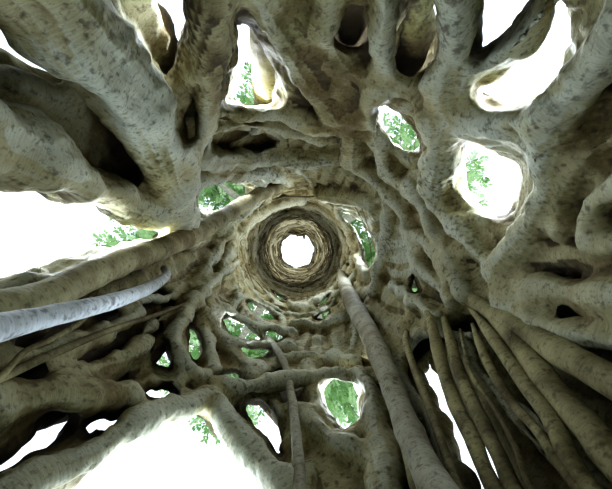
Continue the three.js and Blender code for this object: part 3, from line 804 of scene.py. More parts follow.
class LatticeGrid:
    """A field of distances over the wall: bearing by height by distance from the wall's middle.

    Its cells are finer up to FINE_TOP. A strand is fused in pieces about as long as PIECE, and a recess of
    DEEP metres counts as fully deep.
    """

    TURNS = 300
    FAR = 9.0
    FINE = 0.025
    COARSE = 0.042
    FINE_TOP = 6.2
    PIECE = 0.12
    DEEP = 0.035

    def __init__(self, hollow: Hollow) -> None:
        """Args:
        hollow: The hollow that the grid wraps.
        """
        self.hollow = hollow
        self.bearings = np.arange(self.TURNS) * 360 / self.TURNS
        low = np.arange(-0.05, self.FINE_TOP, self.FINE)
        self.heights = np.concatenate([low, np.arange(self.FINE_TOP, 12.75, self.COARSE)])
        self.offsets = np.arange(-0.5, 0.62, self.FINE)
        self.wall = hollow.wall_radius(self.heights)
        self.rho = self.wall[:, None] + self.offsets
        self.sight = hollow.sight_height(self.heights[:, None], self.rho)
        self.shape = (self.TURNS, len(self.heights), len(self.offsets))
        self.value = np.full(self.shape, self.FAR, np.float32)
        self.grain = np.broadcast_to(self.heights[None, :, None], self.shape).astype(np.float32)
        self.owner = np.zeros(self.shape, np.int8)

    def block(self, bearing: float, half: float, low: float, high: float, seen: bool = False
              ) -> tuple[Array, Array, Array]:
        """The part of the grid round a place.

        Args:
            bearing, half: Its middle and half its width, in degrees.
            low, high: Its lowest and highest height.
            seen: True where the heights are those of the sight line.

        Returns:
            The numbers of its columns and rows, and the columns' degrees from its middle.
        """
        turn = turned(self.bearings, bearing)
        columns = np.nonzero(np.abs(turn) <= half)[0]
        if seen:
            rows = np.nonzero(((self.sight > low) & (self.sight < high)).any(axis=1))[0]
        else:
            rows = np.nonzero((self.heights > low) & (self.heights < high))[0]
        return columns, rows, turn[columns]

    def fuse(self, strand: Strand, owner: int | None = None) -> None:
        """Adds a strand to the field, run softly into what is there.

        Args:
            strand: The strand.
            owner: The number that marks its surface, where that isn't the column's own.
        """
        curve = strand.curve(self.hollow)
        pieces = max(2, int(curve.length / self.PIECE))
        shares = np.linspace(0, 1, pieces + 1)
        middle = curve.at(shares)
        radii = spread(strand.radii, curve.knot_share(shares))
        away = middle - self.hollow.place(0.0, middle[:, 2], 0.0)
        bearings = (self.hollow.front + np.degrees(np.arctan2(-away[:, 0], -away[:, 1]))) % 360
        reach = radii.max() + strand.blend + 0.03
        near = float(np.hypot(away[:, 0], away[:, 1]).min())
        middle_bearing = math.degrees(np.angle(np.exp(1j * np.radians(bearings)).mean()))
        half = float(np.abs(turned(bearings, middle_bearing)).max()) + math.degrees(reach / near)
        low, high = middle[:, 2].min(), middle[:, 2].max()
        columns, rows, _ = self.block(middle_bearing, half, low - reach, high + reach)
        if not len(rows):
            return
        spot = self.hollow.place(
            self.bearings[columns][:, None, None], self.heights[rows][:, None], self.rho[rows][None]
        ).astype(np.float32)
        best = np.full(spot.shape[:-1], self.FAR, np.float32)
        along = np.zeros_like(best)
        for i in range(pieces):
            span = middle[i + 1] - middle[i]
            size = float(span @ span)
            low, high = sorted((middle[i, 2], middle[i + 1, 2]))
            band = (self.heights[rows] > low - reach) & (self.heights[rows] < high + reach)
            off = np.abs(turned(self.bearings[columns], bearings[i]))
            sweep = off < math.degrees(reach / near) + abs(turned(bearings[i + 1], bearings[i]))
            chosen = np.ix_(sweep, band)
            away_from = spot[chosen] - middle[i].astype(np.float32)
            share = np.clip(away_from @ (span / size).astype(np.float32), 0, 1)
            gap = np.linalg.norm(away_from - share[..., None] * span.astype(np.float32), axis=-1)
            gap -= radii[i] + (radii[i + 1] - radii[i]) * share
            better = gap < best[chosen]
            best[chosen] = np.where(better, gap, best[chosen])
            here = (shares[i] + share / pieces - 0.5) * curve.length
            along[chosen] = np.where(better, here, along[chosen])
        along = middle[pieces // 2, 2] + along * (1 if middle[-1, 2] > middle[0, 2] else -1)
        place = np.ix_(columns, rows)
        old = self.value[place]
        mix = np.clip(0.5 + 0.5 * (old - best) / strand.blend, 0, 1)
        self.value[place] = old + (best - old) * mix - strand.blend * mix * (1 - mix)
        self.grain[place] = np.where(mix > 0.5, along, self.grain[place])
        if owner is not None:
            self.owner[place] = np.where(mix > 0.5, owner, self.owner[place])

    def recesses(self) -> Array:
        """How deep in a recess each place on the surface is; below 0 it stands proud."""
        mean = np.clip(self.value, -0.1, 0.1)
        for axis, size in ((0, 4), (1, 4), (2, 3)):
            total = mean.copy()
            for shift in range(1, size + 1):
                total += np.roll(mean, shift, axis) + np.roll(mean, -shift, axis)
            mean = total / (2 * size + 1)
        return np.clip(-mean / self.DEEP, -1, 1)

    def surface(self) -> tuple[Shape, Array]:
        """The closed surface where the field is 0, with one point in each cell that it crosses.

        Returns:
            The surface, and the owner of each of its points.
        """
        value = np.concatenate([self.value, self.value[:1]])
        solid = value < 0
        corners = [(i, j, k) for i in (0, 1) for j in (0, 1) for k in (0, 1)]
        cut = tuple(n - 1 for n in value.shape)
        count = sum(solid[i:i + cut[0], j:j + cut[1], k:k + cut[2]].astype(np.int8) for i, j, k in corners)
        cells = np.argwhere((count > 0) & (count < 8))
        numbers = np.full(cut, -1, np.int64)
        numbers[tuple(cells.T)] = np.arange(len(cells))
        total = np.zeros((len(cells), 3))
        hits = np.zeros(len(cells))
        for corner in corners:
            for axis in range(3):
                if corner[axis]:
                    continue
                start = cells + corner
                stop = start.copy()
                stop[:, axis] += 1
                a, b = value[tuple(start.T)], value[tuple(stop.T)]
                crossed = (a < 0) != (b < 0)
                share = np.where(crossed, a / np.where(crossed, a - b, 1), 0)
                place = start.astype(float)
                place[:, axis] += share
                total += place * crossed[:, None]
                hits += crossed
        middle = total / hits[:, None]
        faces = np.concatenate([self._quads(solid, numbers, axis) for axis in range(3)])
        bearing = middle[:, 0] * 360 / self.TURNS
        z = np.interp(middle[:, 1], np.arange(len(self.heights)), self.heights)
        offset = np.interp(middle[:, 2], np.arange(len(self.offsets)), self.offsets)
        points = self.hollow.place(bearing, z, self.hollow.wall_radius(z) + offset)
        cell = (np.minimum(cells[:, 0], self.TURNS - 1), cells[:, 1], cells[:, 2])
        # How deep each point lies in a recess, which the bark paints as shade, plus the painted light and
        # shade by region.
        recess = self.recesses()[cell] + painted_light_and_tone(bearing, z)
        return Shape(points, faces, self.grain[cell], recess, np.zeros(len(faces), int)), self.owner[cell]

    def _quads(self, solid: Array, numbers: Array, axis: int) -> Array:
        """The faces round every crossed edge that runs along one axis.

        Args:
            solid: True for each corner that is in the wood.
            numbers: The number of each cell's point.
            axis: The axis.

        Returns:
            The faces, as triangles.
        """
        index = [slice(None)] * 3
        index[axis] = slice(0, -1)
        here = solid[tuple(index)]
        index[axis] = slice(1, None)
        there = solid[tuple(index)]
        edges = np.argwhere(here != there)
        inward = here[tuple(edges.T)]
        first, second = ((1, 2), (2, 0), (0, 1))[axis]
        limits = numbers.shape
        if first == 0 or second == 0:
            edges_ok = edges[:, 0] < limits[0]
            edges, inward = edges[edges_ok], inward[edges_ok]
        ring = []
        for back_first, back_second in ((1, 1), (0, 1), (0, 0), (1, 0)):
            cell = edges.copy()
            cell[:, first] -= back_first
            cell[:, second] -= back_second
            cell[:, 0] %= limits[0]
            ok = ((cell >= 0) & (cell < limits)).all(axis=1)
            found = np.full(len(cell), -1)
            found[ok] = numbers[tuple(cell[ok].T)]
            ring.append(found)
        quad = np.stack(ring, axis=1)
        good = (quad >= 0).all(axis=1)
        quad, inward = quad[good], inward[good]
        quad[inward] = quad[inward][:, ::-1]
        return np.concatenate([quad[:, [0, 1, 2]], quad[:, [0, 2, 3]]])


# The wall's gaps, seams and fused roots, as they are laid out round the hollow

WINDOWS = (
    gap_of("skylight", 14, 6.3, (41.5, 7.0), (33, 6.4), (23.5, 6.08), (10.5, 5.78), (0, 5.64), (346, 5.84),
        (350, 6.24), (3.5, 6.44), (19.5, 6.76), (32.5, 7.14)),
    gap_of("right_diamond", 21, 3.04, (31.5, 3.02), (28.5, 2.86), (18.5, 2.7), (10, 2.86), (9, 2.94),
        (14, 3.16), (21, 3.26), (24.5, 3.22)),
    gap_of("right_eye", 49, 3.61, (61, 3.38), (55.5, 3.32), (46.5, 3.36), (40, 3.46), (39, 3.58), (43, 3.72),
        (53, 3.72), (58.5, 3.56)),
    gap_of("low_slit", 38.5, 2.47, (43, 2.1), (44.5, 2.14), (42.5, 2.22), (41, 2.38), (42, 2.66),
        (39.5, 2.7), (36.5, 2.64), (33.5, 2.5), (32.5, 2.36), (35.5, 2.26), (38.5, 2.18)),
    gap_of("low_pin", 48, 2.5, (52, 2.38), (54, 2.3), (48, 2.14), (46.5, 2.26), (45.5, 2.36), (47, 2.54)),
    gap_of("low_oval", 60.5, 2.72, (62.5, 2.9), (64, 2.8), (66, 2.58), (65.5, 2.48), (63, 2.42),
        (59.5, 2.48), (55.5, 2.7), (55, 2.84), (58, 2.96)),
    gap_of("low_pocket", 76.5, 2.74, (79.5, 2.82), (79.5, 2.72), (78.5, 2.64), (76.5, 2.6), (75, 2.6),
        (73.5, 2.74), (74, 2.86), (75.5, 2.92), (78, 2.9)),
    gap_of("high_sliver", 250, 7.5, (239, 8.02), (249.5, 7.86), (258.5, 7.28), (256.5, 7.08), (248, 7.38)),
    gap_of("high_spark", 298.5, 7.05, (290.5, 7.06), (299.5, 7.2), (306.5, 7.32), (300.5, 6.86),
        (292.5, 6.76)),
    gap_of("tall_eye", 106, 3.3, (103, 2.74), (99, 2.96), (96.5, 3.22), (97.5, 3.48), (99.5, 3.7),
        (111.5, 3.58), (114, 3.4), (108.5, 3.08)),
    gap_of("fork_notch", 119, 2.5, (123, 2.26), (111, 2.4), (113.5, 2.58), (118.5, 2.72), (124, 2.88),
        (127, 2.86), (127.5, 2.7), (126, 2.5)),
    gap_of("corner_sliver", 144, 2.2, (141, 2.0), (142, 2.2), (143, 2.42), (145, 2.42), (147.5, 2.3),
        (149.5, 2.1)),
    gap_of("great_slope", 139, 5.35, (159, 4.6), (148.5, 4.38), (143, 4.38), (135.5, 4.8), (128, 5.48),
        (124, 6.14), (131.5, 6.08), (144, 5.76), (155.5, 5.1)),
    gap_of("left_slot", 176.5, 3.2, (169, 2.2), (168, 2.68), (166, 3.06), (169, 3.14), (170.5, 3.4),
        (172, 3.96), (176, 3.68), (180.5, 2.96), (184.5, 2.54), (184.5, 2.2)),
    gap_of("upper_left", 239, 6.05, (225.5, 5.88), (230.5, 6.28), (244, 6.34), (255, 5.92), (246, 5.76),
        (234.5, 5.72)),
    gap_of("upper_spark", 290, 6.17, (283, 6.02), (288, 6.22), (297.5, 6.24), (296, 5.94), (286.5, 5.86)),
    gap_of("high_eye", 254.5, 5.3, (248, 5.22), (252.5, 5.42), (262, 5.24), (257.5, 5.04), (252, 5.02)),
    gap_of("broad_eye", 235, 4.86, (223, 4.68), (224.5, 4.96), (235.5, 5.12), (248, 4.96), (241.5, 4.68),
        (231, 4.52)),
    gap_of("slant_eye", 246.5, 4.49, (238, 4.4), (245.5, 4.56), (254, 4.7), (254, 4.46), (246, 4.26)),
    gap_of("small_spark", 258.5, 4.12, (255.5, 3.96), (262.5, 4.22), (263, 4.08), (258, 3.95)),
    gap_of("twin_high", 223, 3.82, (220.5, 3.74), (215.5, 3.98), (221.5, 4.02), (226, 3.86), (227, 3.62)),
    gap_of("twin_low", 218.5, 3.32, (219.5, 3.2), (217.5, 3.34), (216, 3.46), (221, 3.42), (222.5, 3.32)),
    gap_of("low_line", 226.5, 3.03, (224, 2.94), (225.5, 3.05), (228, 3.15), (228, 3.05), (225.5, 2.94)),
    gap_of("brow_line", 241, 3.64, (236.5, 3.43), (239.5, 3.62), (244, 3.86), (245.5, 3.76), (243, 3.62),
        (239, 3.46)),
    gap_of("crack_high", 225.5, 3.0, (224, 2.95), (225.5, 3.06), (228.5, 3.14), (226.5, 2.98)),
    gap_of("crack_low", 217, 2.27, (216, 2.0), (215, 2.38), (216, 2.46), (217.2, 2.42), (218.5, 2.1)),
    gap_of("crack_mid", 220.7, 2.52, (220.2, 2.44), (219.8, 2.6), (220.8, 2.6), (221.5, 2.46)),
    gap_of("crack_upper", 224, 2.66, (223.2, 2.54), (222.3, 2.62), (223, 2.72), (225, 2.78), (225.4, 2.68),
        (224.2, 2.55)),
    gap_of("knee_gap", 258, 3.2, (251.5, 3.4), (256.5, 3.54), (262, 3.38), (266, 3.1), (266, 2.94),
        (260.5, 3.08)),
    gap_of("front_oval", 287, 3.55, (280, 3.76), (284.5, 3.92), (290, 3.94), (293.5, 3.6), (290.5, 3.3),
        (285, 3.16), (282.3, 3.3)),
    gap_of("rod_slit", 315, 2.82, (319.5, 3.32), (317.2, 2.88), (314.8, 2.7), (309.2, 2.26), (306.5, 2.26),
        (309.8, 2.62), (313.5, 2.92)),
    gap_of("side_spark", 342, 4.12, (341, 4.2), (347.5, 4.28), (346, 4.14), (340.5, 4.06)),
    gap_of("doorway_edge", 246, 2.4, (225.5, 2.0), (226.5, 2.38), (229.5, 2.62), (233, 2.84), (239, 3.08),
        (245.5, 3.04), (252.5, 2.96), (257.5, 2.86), (264, 2.64), (269, 2.3), (270, 1.9), (247, 1.7)),
)

POCKETS = (
    Gap("fork_recess", 137, 1.85, 35, 1.9, depth=-0.01),
    Gap("knot_gap", 241.5, 3.62, 4.5, 0.16, depth=0.02),
    Gap("rod_recess", 322, 2.5, 17, 1.1, depth=0.05),
    Gap("side_recess", 343, 2.45, 10, 0.35, depth=0.04),
    Gap("under_beam", 118, 3.9, 12, 0.16, depth=0.0),
    Gap("left_recess", 206, 3.0, 11, 0.9, depth=0.0),
    Gap("front_recess", 298, 3.2, 7, 0.9, depth=0.03),
    Gap("pillar_recess", 36, 2.12, 5, 0.3, depth=0.03),
)

SLOTS = (
    gap_of("leg_slot", 128, 3.35, (124.5, 3.1), (123, 3.12), (123.5, 3.24), (128, 3.46), (133, 3.6),
        (135, 3.6), (132.5, 3.42), (128, 3.24), depth=-0.1),
    gap_of("beam_slot", 115, 4.2, (125, 3.92), (117.5, 3.98), (107, 4.26), (101, 4.52), (109, 4.58),
        (119.5, 4.34), (126.5, 4.08), depth=-0.03),
    gap_of("fork_wedge", 150, 2.7, (149.5, 2.12), (145.5, 2.36), (144, 2.5), (146, 2.76), (149.5, 2.96),
        (152.5, 3.16), (156, 3.28), (158, 3.14), (155.5, 2.7), (152, 2.5), (150.5, 2.14), depth=-0.05),
)

ARCHES = (
    Gap("doorway", 246, 1.15, 19, 1.7),
    Gap("foot_right", 20, 0.65, 7, 0.95),
    Gap("foot_back", 60, 0.5, 8, 0.9),
    Gap("foot_left", 201, 0.45, 7, 0.8),
    Gap("foot_front", 291, 0.35, 7, 0.85),
    Gap("foot_side", 336, 0.5, 7, 0.9),
)

SEAMS = (
    Seam(20, ("foot_right", "right_diamond", "skylight")),
    Seam(39, ("low_slit", "right_eye")),
    Seam(60, ("foot_back", "low_oval")),
    Seam(98, ("tall_eye",)),
    Seam(122, ("great_slope",)),
    Seam(150),
    Seam(177, ("left_slot",)),
    Seam(201, ("foot_left",)),
    Seam(217, ("crack_low", "twin_low", "twin_high", "broad_eye", "upper_left")),
    Seam(246, ("doorway", "knot_gap", "slant_eye", "high_eye")),
    Seam(291, ("foot_front", "front_oval", "upper_spark")),
    Seam(312, ("rod_slit",)),
    Seam(336, ("foot_side", "side_spark")),
)
TOP_SEAM = 20.0
BOUGHS = 7
# Bearing and half width of the doorway and the forked root, where no root runs down outside
BARE_OUTSIDE = ((246, 24), (137, 38))


def bough_bearing(number: int) -> float:
    """The bearing that a bough leaves the rim at."""
    return TOP_SEAM + 360 / BOUGHS * (number + 0.25)


GREAT_ROOTS = {
    "forked_root": (
        root_of((60, 90, 115, 150), (170, 5.1, 0.05), (172, 4.6, 0.08), (172.5, 4.1, 0.12),
            (166, 3.75, 0.14)),
        root_of((140, 130, 120, 110, 100, 140, 200), (148, 2.84, 0.15), (131.5, 2.58, 0.14),
            (121, 2.26, 0.14), (113, 1.92, 0.14), (107.5, 1.6, 0.12), (102, 0.8, 0.07), (98, -1.06, 0.0),
            seen=True, blend=0.04),
        root_of((105, 135, 160, 200, 172, 152, 140, 142, 180, 260), (173, 3.45, 0.13), (166.5, 3.3, 0.15),
            (157, 3.04, 0.15), (145, 2.58, 0.15), (139.5, 2.09, 0.15), (137.5, 1.73, 0.15),
            (135.5, 1.46, 0.15), (134, 1.29, 0.14), (134, 0.5, 0.09), (136, -1.06, 0.06), seen=True,
            blend=0.04),
        root_of((100, 108, 100, 136, 148, 160, 180, 220), (165.5, 2.89, 0.13), (164.5, 2.35, 0.13),
            (161.5, 2.05, 0.13), (159.5, 1.72, 0.13), (159, 1.59, 0.13), (159.5, 1.4, 0.12),
            (162, 0.5, 0.04), (166, -1.06, 0.0), seen=True, blend=0.035),
    ),
    "arch_left": (root_of((70, 65, 58, 52, 49, 54, 70, 130, 200), (243, 3.25, 0.08), (235.5, 2.84, 0.15),
        (231, 2.66, 0.16), (227.5, 2.46, 0.16), (225.5, 2.32, 0.16), (223.5, 2.17, 0.15),
        (220.5, 1.96, 0.12), (216, 0.9, 0.1), (212, -0.1, 0.06), blend=0.03),),
    "arch_right": (root_of((70, 68, 67, 66, 65, 66, 75, 140, 200), (238, 3.1, 0.08), (246, 2.87, 0.17),
        (251.5, 2.73, 0.19), (257.5, 2.61, 0.2), (261.5, 2.51, 0.2), (266, 2.39, 0.2), (272, 2.2, 0.18),
        (282, 1.0, 0.1), (285, -0.1, 0.04), blend=0.03),),
    "brow_root": (root_of((75, 55, 50, 48, 48, 50), (238, 3.2, 0.08), (249, 3.28, 0.16), (262, 3.48, 0.19),
        (275, 3.57, 0.19), (289, 3.56, 0.17), (301, 3.6, 0.05), blend=0.03),),
    "slope_root": (root_of((75, 90, 85, 80, 70), (97, 5.9, 0.05), (110, 5.08, 0.11), (125, 4.47, 0.13),
        (138, 4.03, 0.13), (149, 3.8, 0.11), blend=0.04),),
}

NET = (
    # Over the forked root and right of the tall eye
    strip((6, 8, 12, 14, 16), (100, 1.68), (97, 1.94), (92, 2.22), (84.5, 2.58), (75, 2.98), inside=0.14),
    strip((6, 8, 10, 10), (95.5, 1.68), (91, 1.94), (85, 2.2), (79, 2.46), inside=0.11),
    strip((8, 10, 10), (91, 1.68), (86.5, 1.9), (81.5, 2.18), inside=0.08),
    strip((10, 12, 16, 20, 20), (84, 1.6), (80.5, 2.0), (73.5, 2.4), (67, 2.9), (60, 3.6), inside=0.11),
    strip((10, 10, 12, 15, 16), (71.5, 1.55), (67.5, 1.84), (65, 2.1), (64, 2.38), (62, 2.8), inside=0.13),
    strip((10, 10), (78, 2.18), (68.5, 2.26)),
    strip((8, 10), (62.5, 2.26), (49, 2.12)),
    strip((8, 10, 12, 20), (121.5, 2.56), (111, 2.82), (97, 3.0), (76, 3.14), inside=0.13),
    strip((5, 6, 8, 14), (124, 2.78), (113, 3.04), (98, 3.3), (78, 3.52)),
    strip((14, 18, 20, 22), (136, 3.12), (122.5, 3.7), (100.5, 4.12), (75.5, 4.14)),
    strip((6, 8, 10, 14), (141, 3.36), (130, 4.02), (120.5, 4.86), (120, 6.06), inside=0.1),
    # Right of the eye
    strip((14, 16, 18, 20, 20, 18), (59, 1.4), (55.5, 1.62), (51.5, 1.84), (45, 2.1), (35.5, 2.4),
        (25.5, 2.68), inside=0.14),
    strip((18, 14, 10, 8), (25.5, 2.68), (16.5, 2.76), (4.5, 2.44), (354.5, 2.18), inside=0.13),
    strip((10, 10, 10, 10), (30, 3.1), (15, 3.08), (357.5, 2.76), (345.5, 2.46)),
    strip((10, 9, 8), (12, 3.68), (0, 3.06), (349.5, 2.72)),
    strip((7, 8, 8, 9, 12), (44, 1.15), (43.5, 1.36), (43.5, 1.52), (45, 1.68), (46, 1.9), inside=0.1),
    strip((16, 14, 14, 15, 15), (44, 2.14), (36.5, 1.98), (32, 1.8), (29.5, 1.62), (28, 1.5), inside=0.14),
    strip((13, 14, 14, 14, 10), (36, 1.1), (32.5, 1.28), (29, 1.44), (25, 1.6), (19.5, 1.72), inside=0.16),
    strip((7, 7, 7), (43, 1.1), (38, 1.28), (33.5, 1.4), inside=0.05),
    strip((10, 9, 8, 9, 10), (20.5, 1.7), (13, 1.74), (5.5, 1.82), (0, 1.98), (353.5, 2.18), inside=0.13),
    strip((6, 6, 7, 8, 6), (20.5, 1.25), (18.5, 1.42), (15.5, 1.58), (9.5, 1.66), (4, 1.68)),
    strip((5, 5, 5, 5), (12, 1.34), (10, 1.48), (6.5, 1.57), (1.5, 1.52), inside=0.14),
    strip((5, 5, 5), (1.5, 1.52), (0.5, 1.42), (4, 1.32), inside=0.14),
    strip((8, 8, 9, 10), (352.5, 1.3), (351.5, 1.54), (350.5, 1.76), (349, 2.06)),
    strip((10, 10, 9), (345, 1.2), (343, 1.5), (344.5, 2.0), inside=0.1),
    strip((12, 12, 15, 14), (64, 2.42), (58.5, 2.9), (42, 3.28), (28.5, 3.2)),
    strip((18, 16, 13, 12, 10), (59.5, 3.76), (44, 3.78), (24.5, 3.64), (5, 3.5), (350.5, 3.28)),
    strip((14, 14, 14, 12), (27.5, 3.96), (10, 4.32), (351.5, 4.6), (332, 4.46)),
    strip((22, 20, 16), (67, 6.0), (47.5, 5.18), (32.5, 4.5)),
    strip((8, 8, 7), (357, 3.5), (350, 3.1), (341, 2.6)),
    strip((8, 8, 7), (340, 3.9), (337, 3.2), (334, 2.7)),
    # Round the foot of the upper tube
    strip((12, 20, 22, 20, 14), (47.5, 5.83), (30.5, 6.25), (10, 6.06), (353, 5.64), (339.5, 5.01),
        inside=0.07),
    strip((18, 16, 14, 12, 8), (123, 5.58), (155.5, 5.34), (184, 4.58), (201, 3.7), (209.5, 2.88)),
    strip((20, 20, 16, 14, 12, 12, 14), (86.5, 6.76), (134, 6.74), (170.5, 5.9), (195, 4.8), (209.5, 3.84),
        (220.5, 3.28), (234, 2.8)),
    strip((14, 18, 16), (240, 6.54), (273, 6.2), (308, 6.3), inside=0.13),
    strip((10, 10, 10, 12), (211.5, 4.04), (230, 4.3), (245.5, 4.52), (266.5, 4.68)),
    strip((8, 6, 6, 10), (231, 3.36), (239, 3.6), (249, 3.96), (266, 4.02)),
    strip((8, 9, 10), (263, 3.72), (279, 3.76), (297, 3.26), inside=0.13),
    strip((10, 12, 12), (268, 5.2), (285, 4.9), (303, 4.7)),
    strip((10, 12, 14), (216, 5.2), (222, 4.3), (215, 3.6)),
    # Above the doorway and left of it
    strip((8, 8, 8), (211.5, 3.1), (219, 2.74), (228, 2.42)),
    strip((10, 14, 17, 14), (206.5, 3.52), (225.5, 3.52), (241, 3.42), (254.5, 3.06), inside=0.15),
    strip((12, 14, 16), (238, 2.46), (226, 2.62), (214, 2.9), inside=0.1),
    strip((6, 5, 5), (207.5, 1.32), (212.5, 1.56), (222, 1.9)),
    strip((5, 6), (222, 1.9), (233.5, 2.34)),
    strip((10, 12, 14, 14, 14), (188, 1.3), (187, 1.78), (183.5, 2.22), (178.5, 2.98), (167.5, 3.8),
        inside=0.13),
    strip((10, 8, 8), (198, 1.3), (202.5, 1.64), (203.5, 2.0)),
    strip((6, 8), (203.5, 2.0), (201.5, 2.48)),
    strip((6, 7, 8), (208, 1.62), (211, 1.96), (211.5, 2.42)),
    strip((11, 10, 9), (205, 1.25), (211, 1.58), (219, 1.9), inside=0.13),
    # Round the front oval
    strip((8, 9, 10, 9, 7), (268, 2.72), (275, 2.38), (281, 2.18), (288, 2.02), (294, 1.82)),
    strip((10, 12, 11, 12), (296, 3.0), (295, 2.44), (293.5, 2.06), (289, 1.5)),
    strip((12, 12, 10), (276, 3.4), (277, 2.9), (276, 2.5), inside=0.08),
    root_of((45, 55, 50), (190, 6.59, 0.06), (196, 5.16, 0.17), (200, 4.53, 0.18), (206, 3.83, 0.19),
        (212, 3.41, 0.19), (220, 3.1, 0.18), (235, 3.18, 0.08), blend=0.03),
    root_of((100, 100, 90), (167, 4.5, 0.09), (163, 4.81, 0.15), (170, 6.11, 0.06), blend=0.04),
)

BACKS = (
    root_of((30, 68, 95, 100, 95, 110, 140), (125.5, 2.2, -0.1), (124.5, 1.87, -0.15), (124, 1.72, -0.17),
        (123.3, 1.58, -0.19), (123, 1.34, -0.22), (121, 0.6, -0.34), (120, -1.06, -0.4), seen=True),
    root_of((35, 40, 50, 70, 120), (144, 1.8, -0.08), (145.5, 1.5, -0.14), (147.5, 1.3, -0.18),
        (149, 1.05, -0.22), (151, -1.06, -0.34), seen=True),
    root_of((60, 100, 115, 115, 110, 120, 140), (55.5, 2.3, -0.1), (58, 1.92, -0.2), (60.5, 1.79, -0.22),
        (63, 1.69, -0.24), (66, 1.5, -0.27), (68, 0.5, -0.33), (70, -1.06, -0.4), seen=True),
    root_of((50, 80, 90, 100, 120, 140), (74.5, 2.3, -0.1), (75.5, 1.94, -0.18), (76.5, 1.81, -0.2),
        (78, 1.62, -0.22), (82, 0.5, -0.3), (86, -1.06, -0.4), seen=True),
)


# Bearing, height, half width, half height and tone of each patch of painted light (below 0) or painted shade
# (above 0), partly the bark's own paler or darker tone
PAINTED_LIGHT_AND_TONE = (
    (138, 2.45, 12, 0.55, -0.75), (157, 3.7, 16, 0.5, -1.7), (150, 2.95, 9, 0.35, 0.35),
    (112, 2.7, 10, 0.9, 1.0), (84, 3.0, 12, 0.9, 0.5), (66, 3.4, 9, 0.9, 0.55), (48, 2.9, 6, 0.3, 0.5),
    (30, 2.6, 12, 0.25, -0.25), (2, 2.3, 15, 0.5, 0.3), (1, 4.4, 18, 0.8, -0.5),
    (115, 4.7, 18, 0.5, -0.35), (206, 2.4, 13, 0.7, 0.45), (219, 2.7, 8, 0.5, 0.3),
    (240, 3.3, 14, 0.3, -0.1), (320, 2.4, 18, 0.9, 0.4), (163, 2.6, 9, 0.4, 0.35),
    (55, 5.0, 20, 0.5, 0.2), (134, 1.9, 9, 0.4, 0.35), (280, 3.0, 12, 0.8, 0.1),
    (25, 1.9, 16, 0.35, 0.15), (285, 8.6, 60, 1.2, 0.15),
)


def painted_light_and_tone(bearing: Array, z: Array) -> Array:
    """Painted light and shade by region, partly the bark's own paler or darker tone.

    Args:
        bearing, z: Some places.

    Returns:
        Its tone there: above 0 painted shade, below 0 painted light.
    """
    tone = np.zeros_like(z)
    for middle, height, half, tall, depth in PAINTED_LIGHT_AND_TONE:
        tone += depth * np.exp(-((turned(bearing, middle) / half) ** 2) - ((z - height) / tall) ** 2)
    return tone


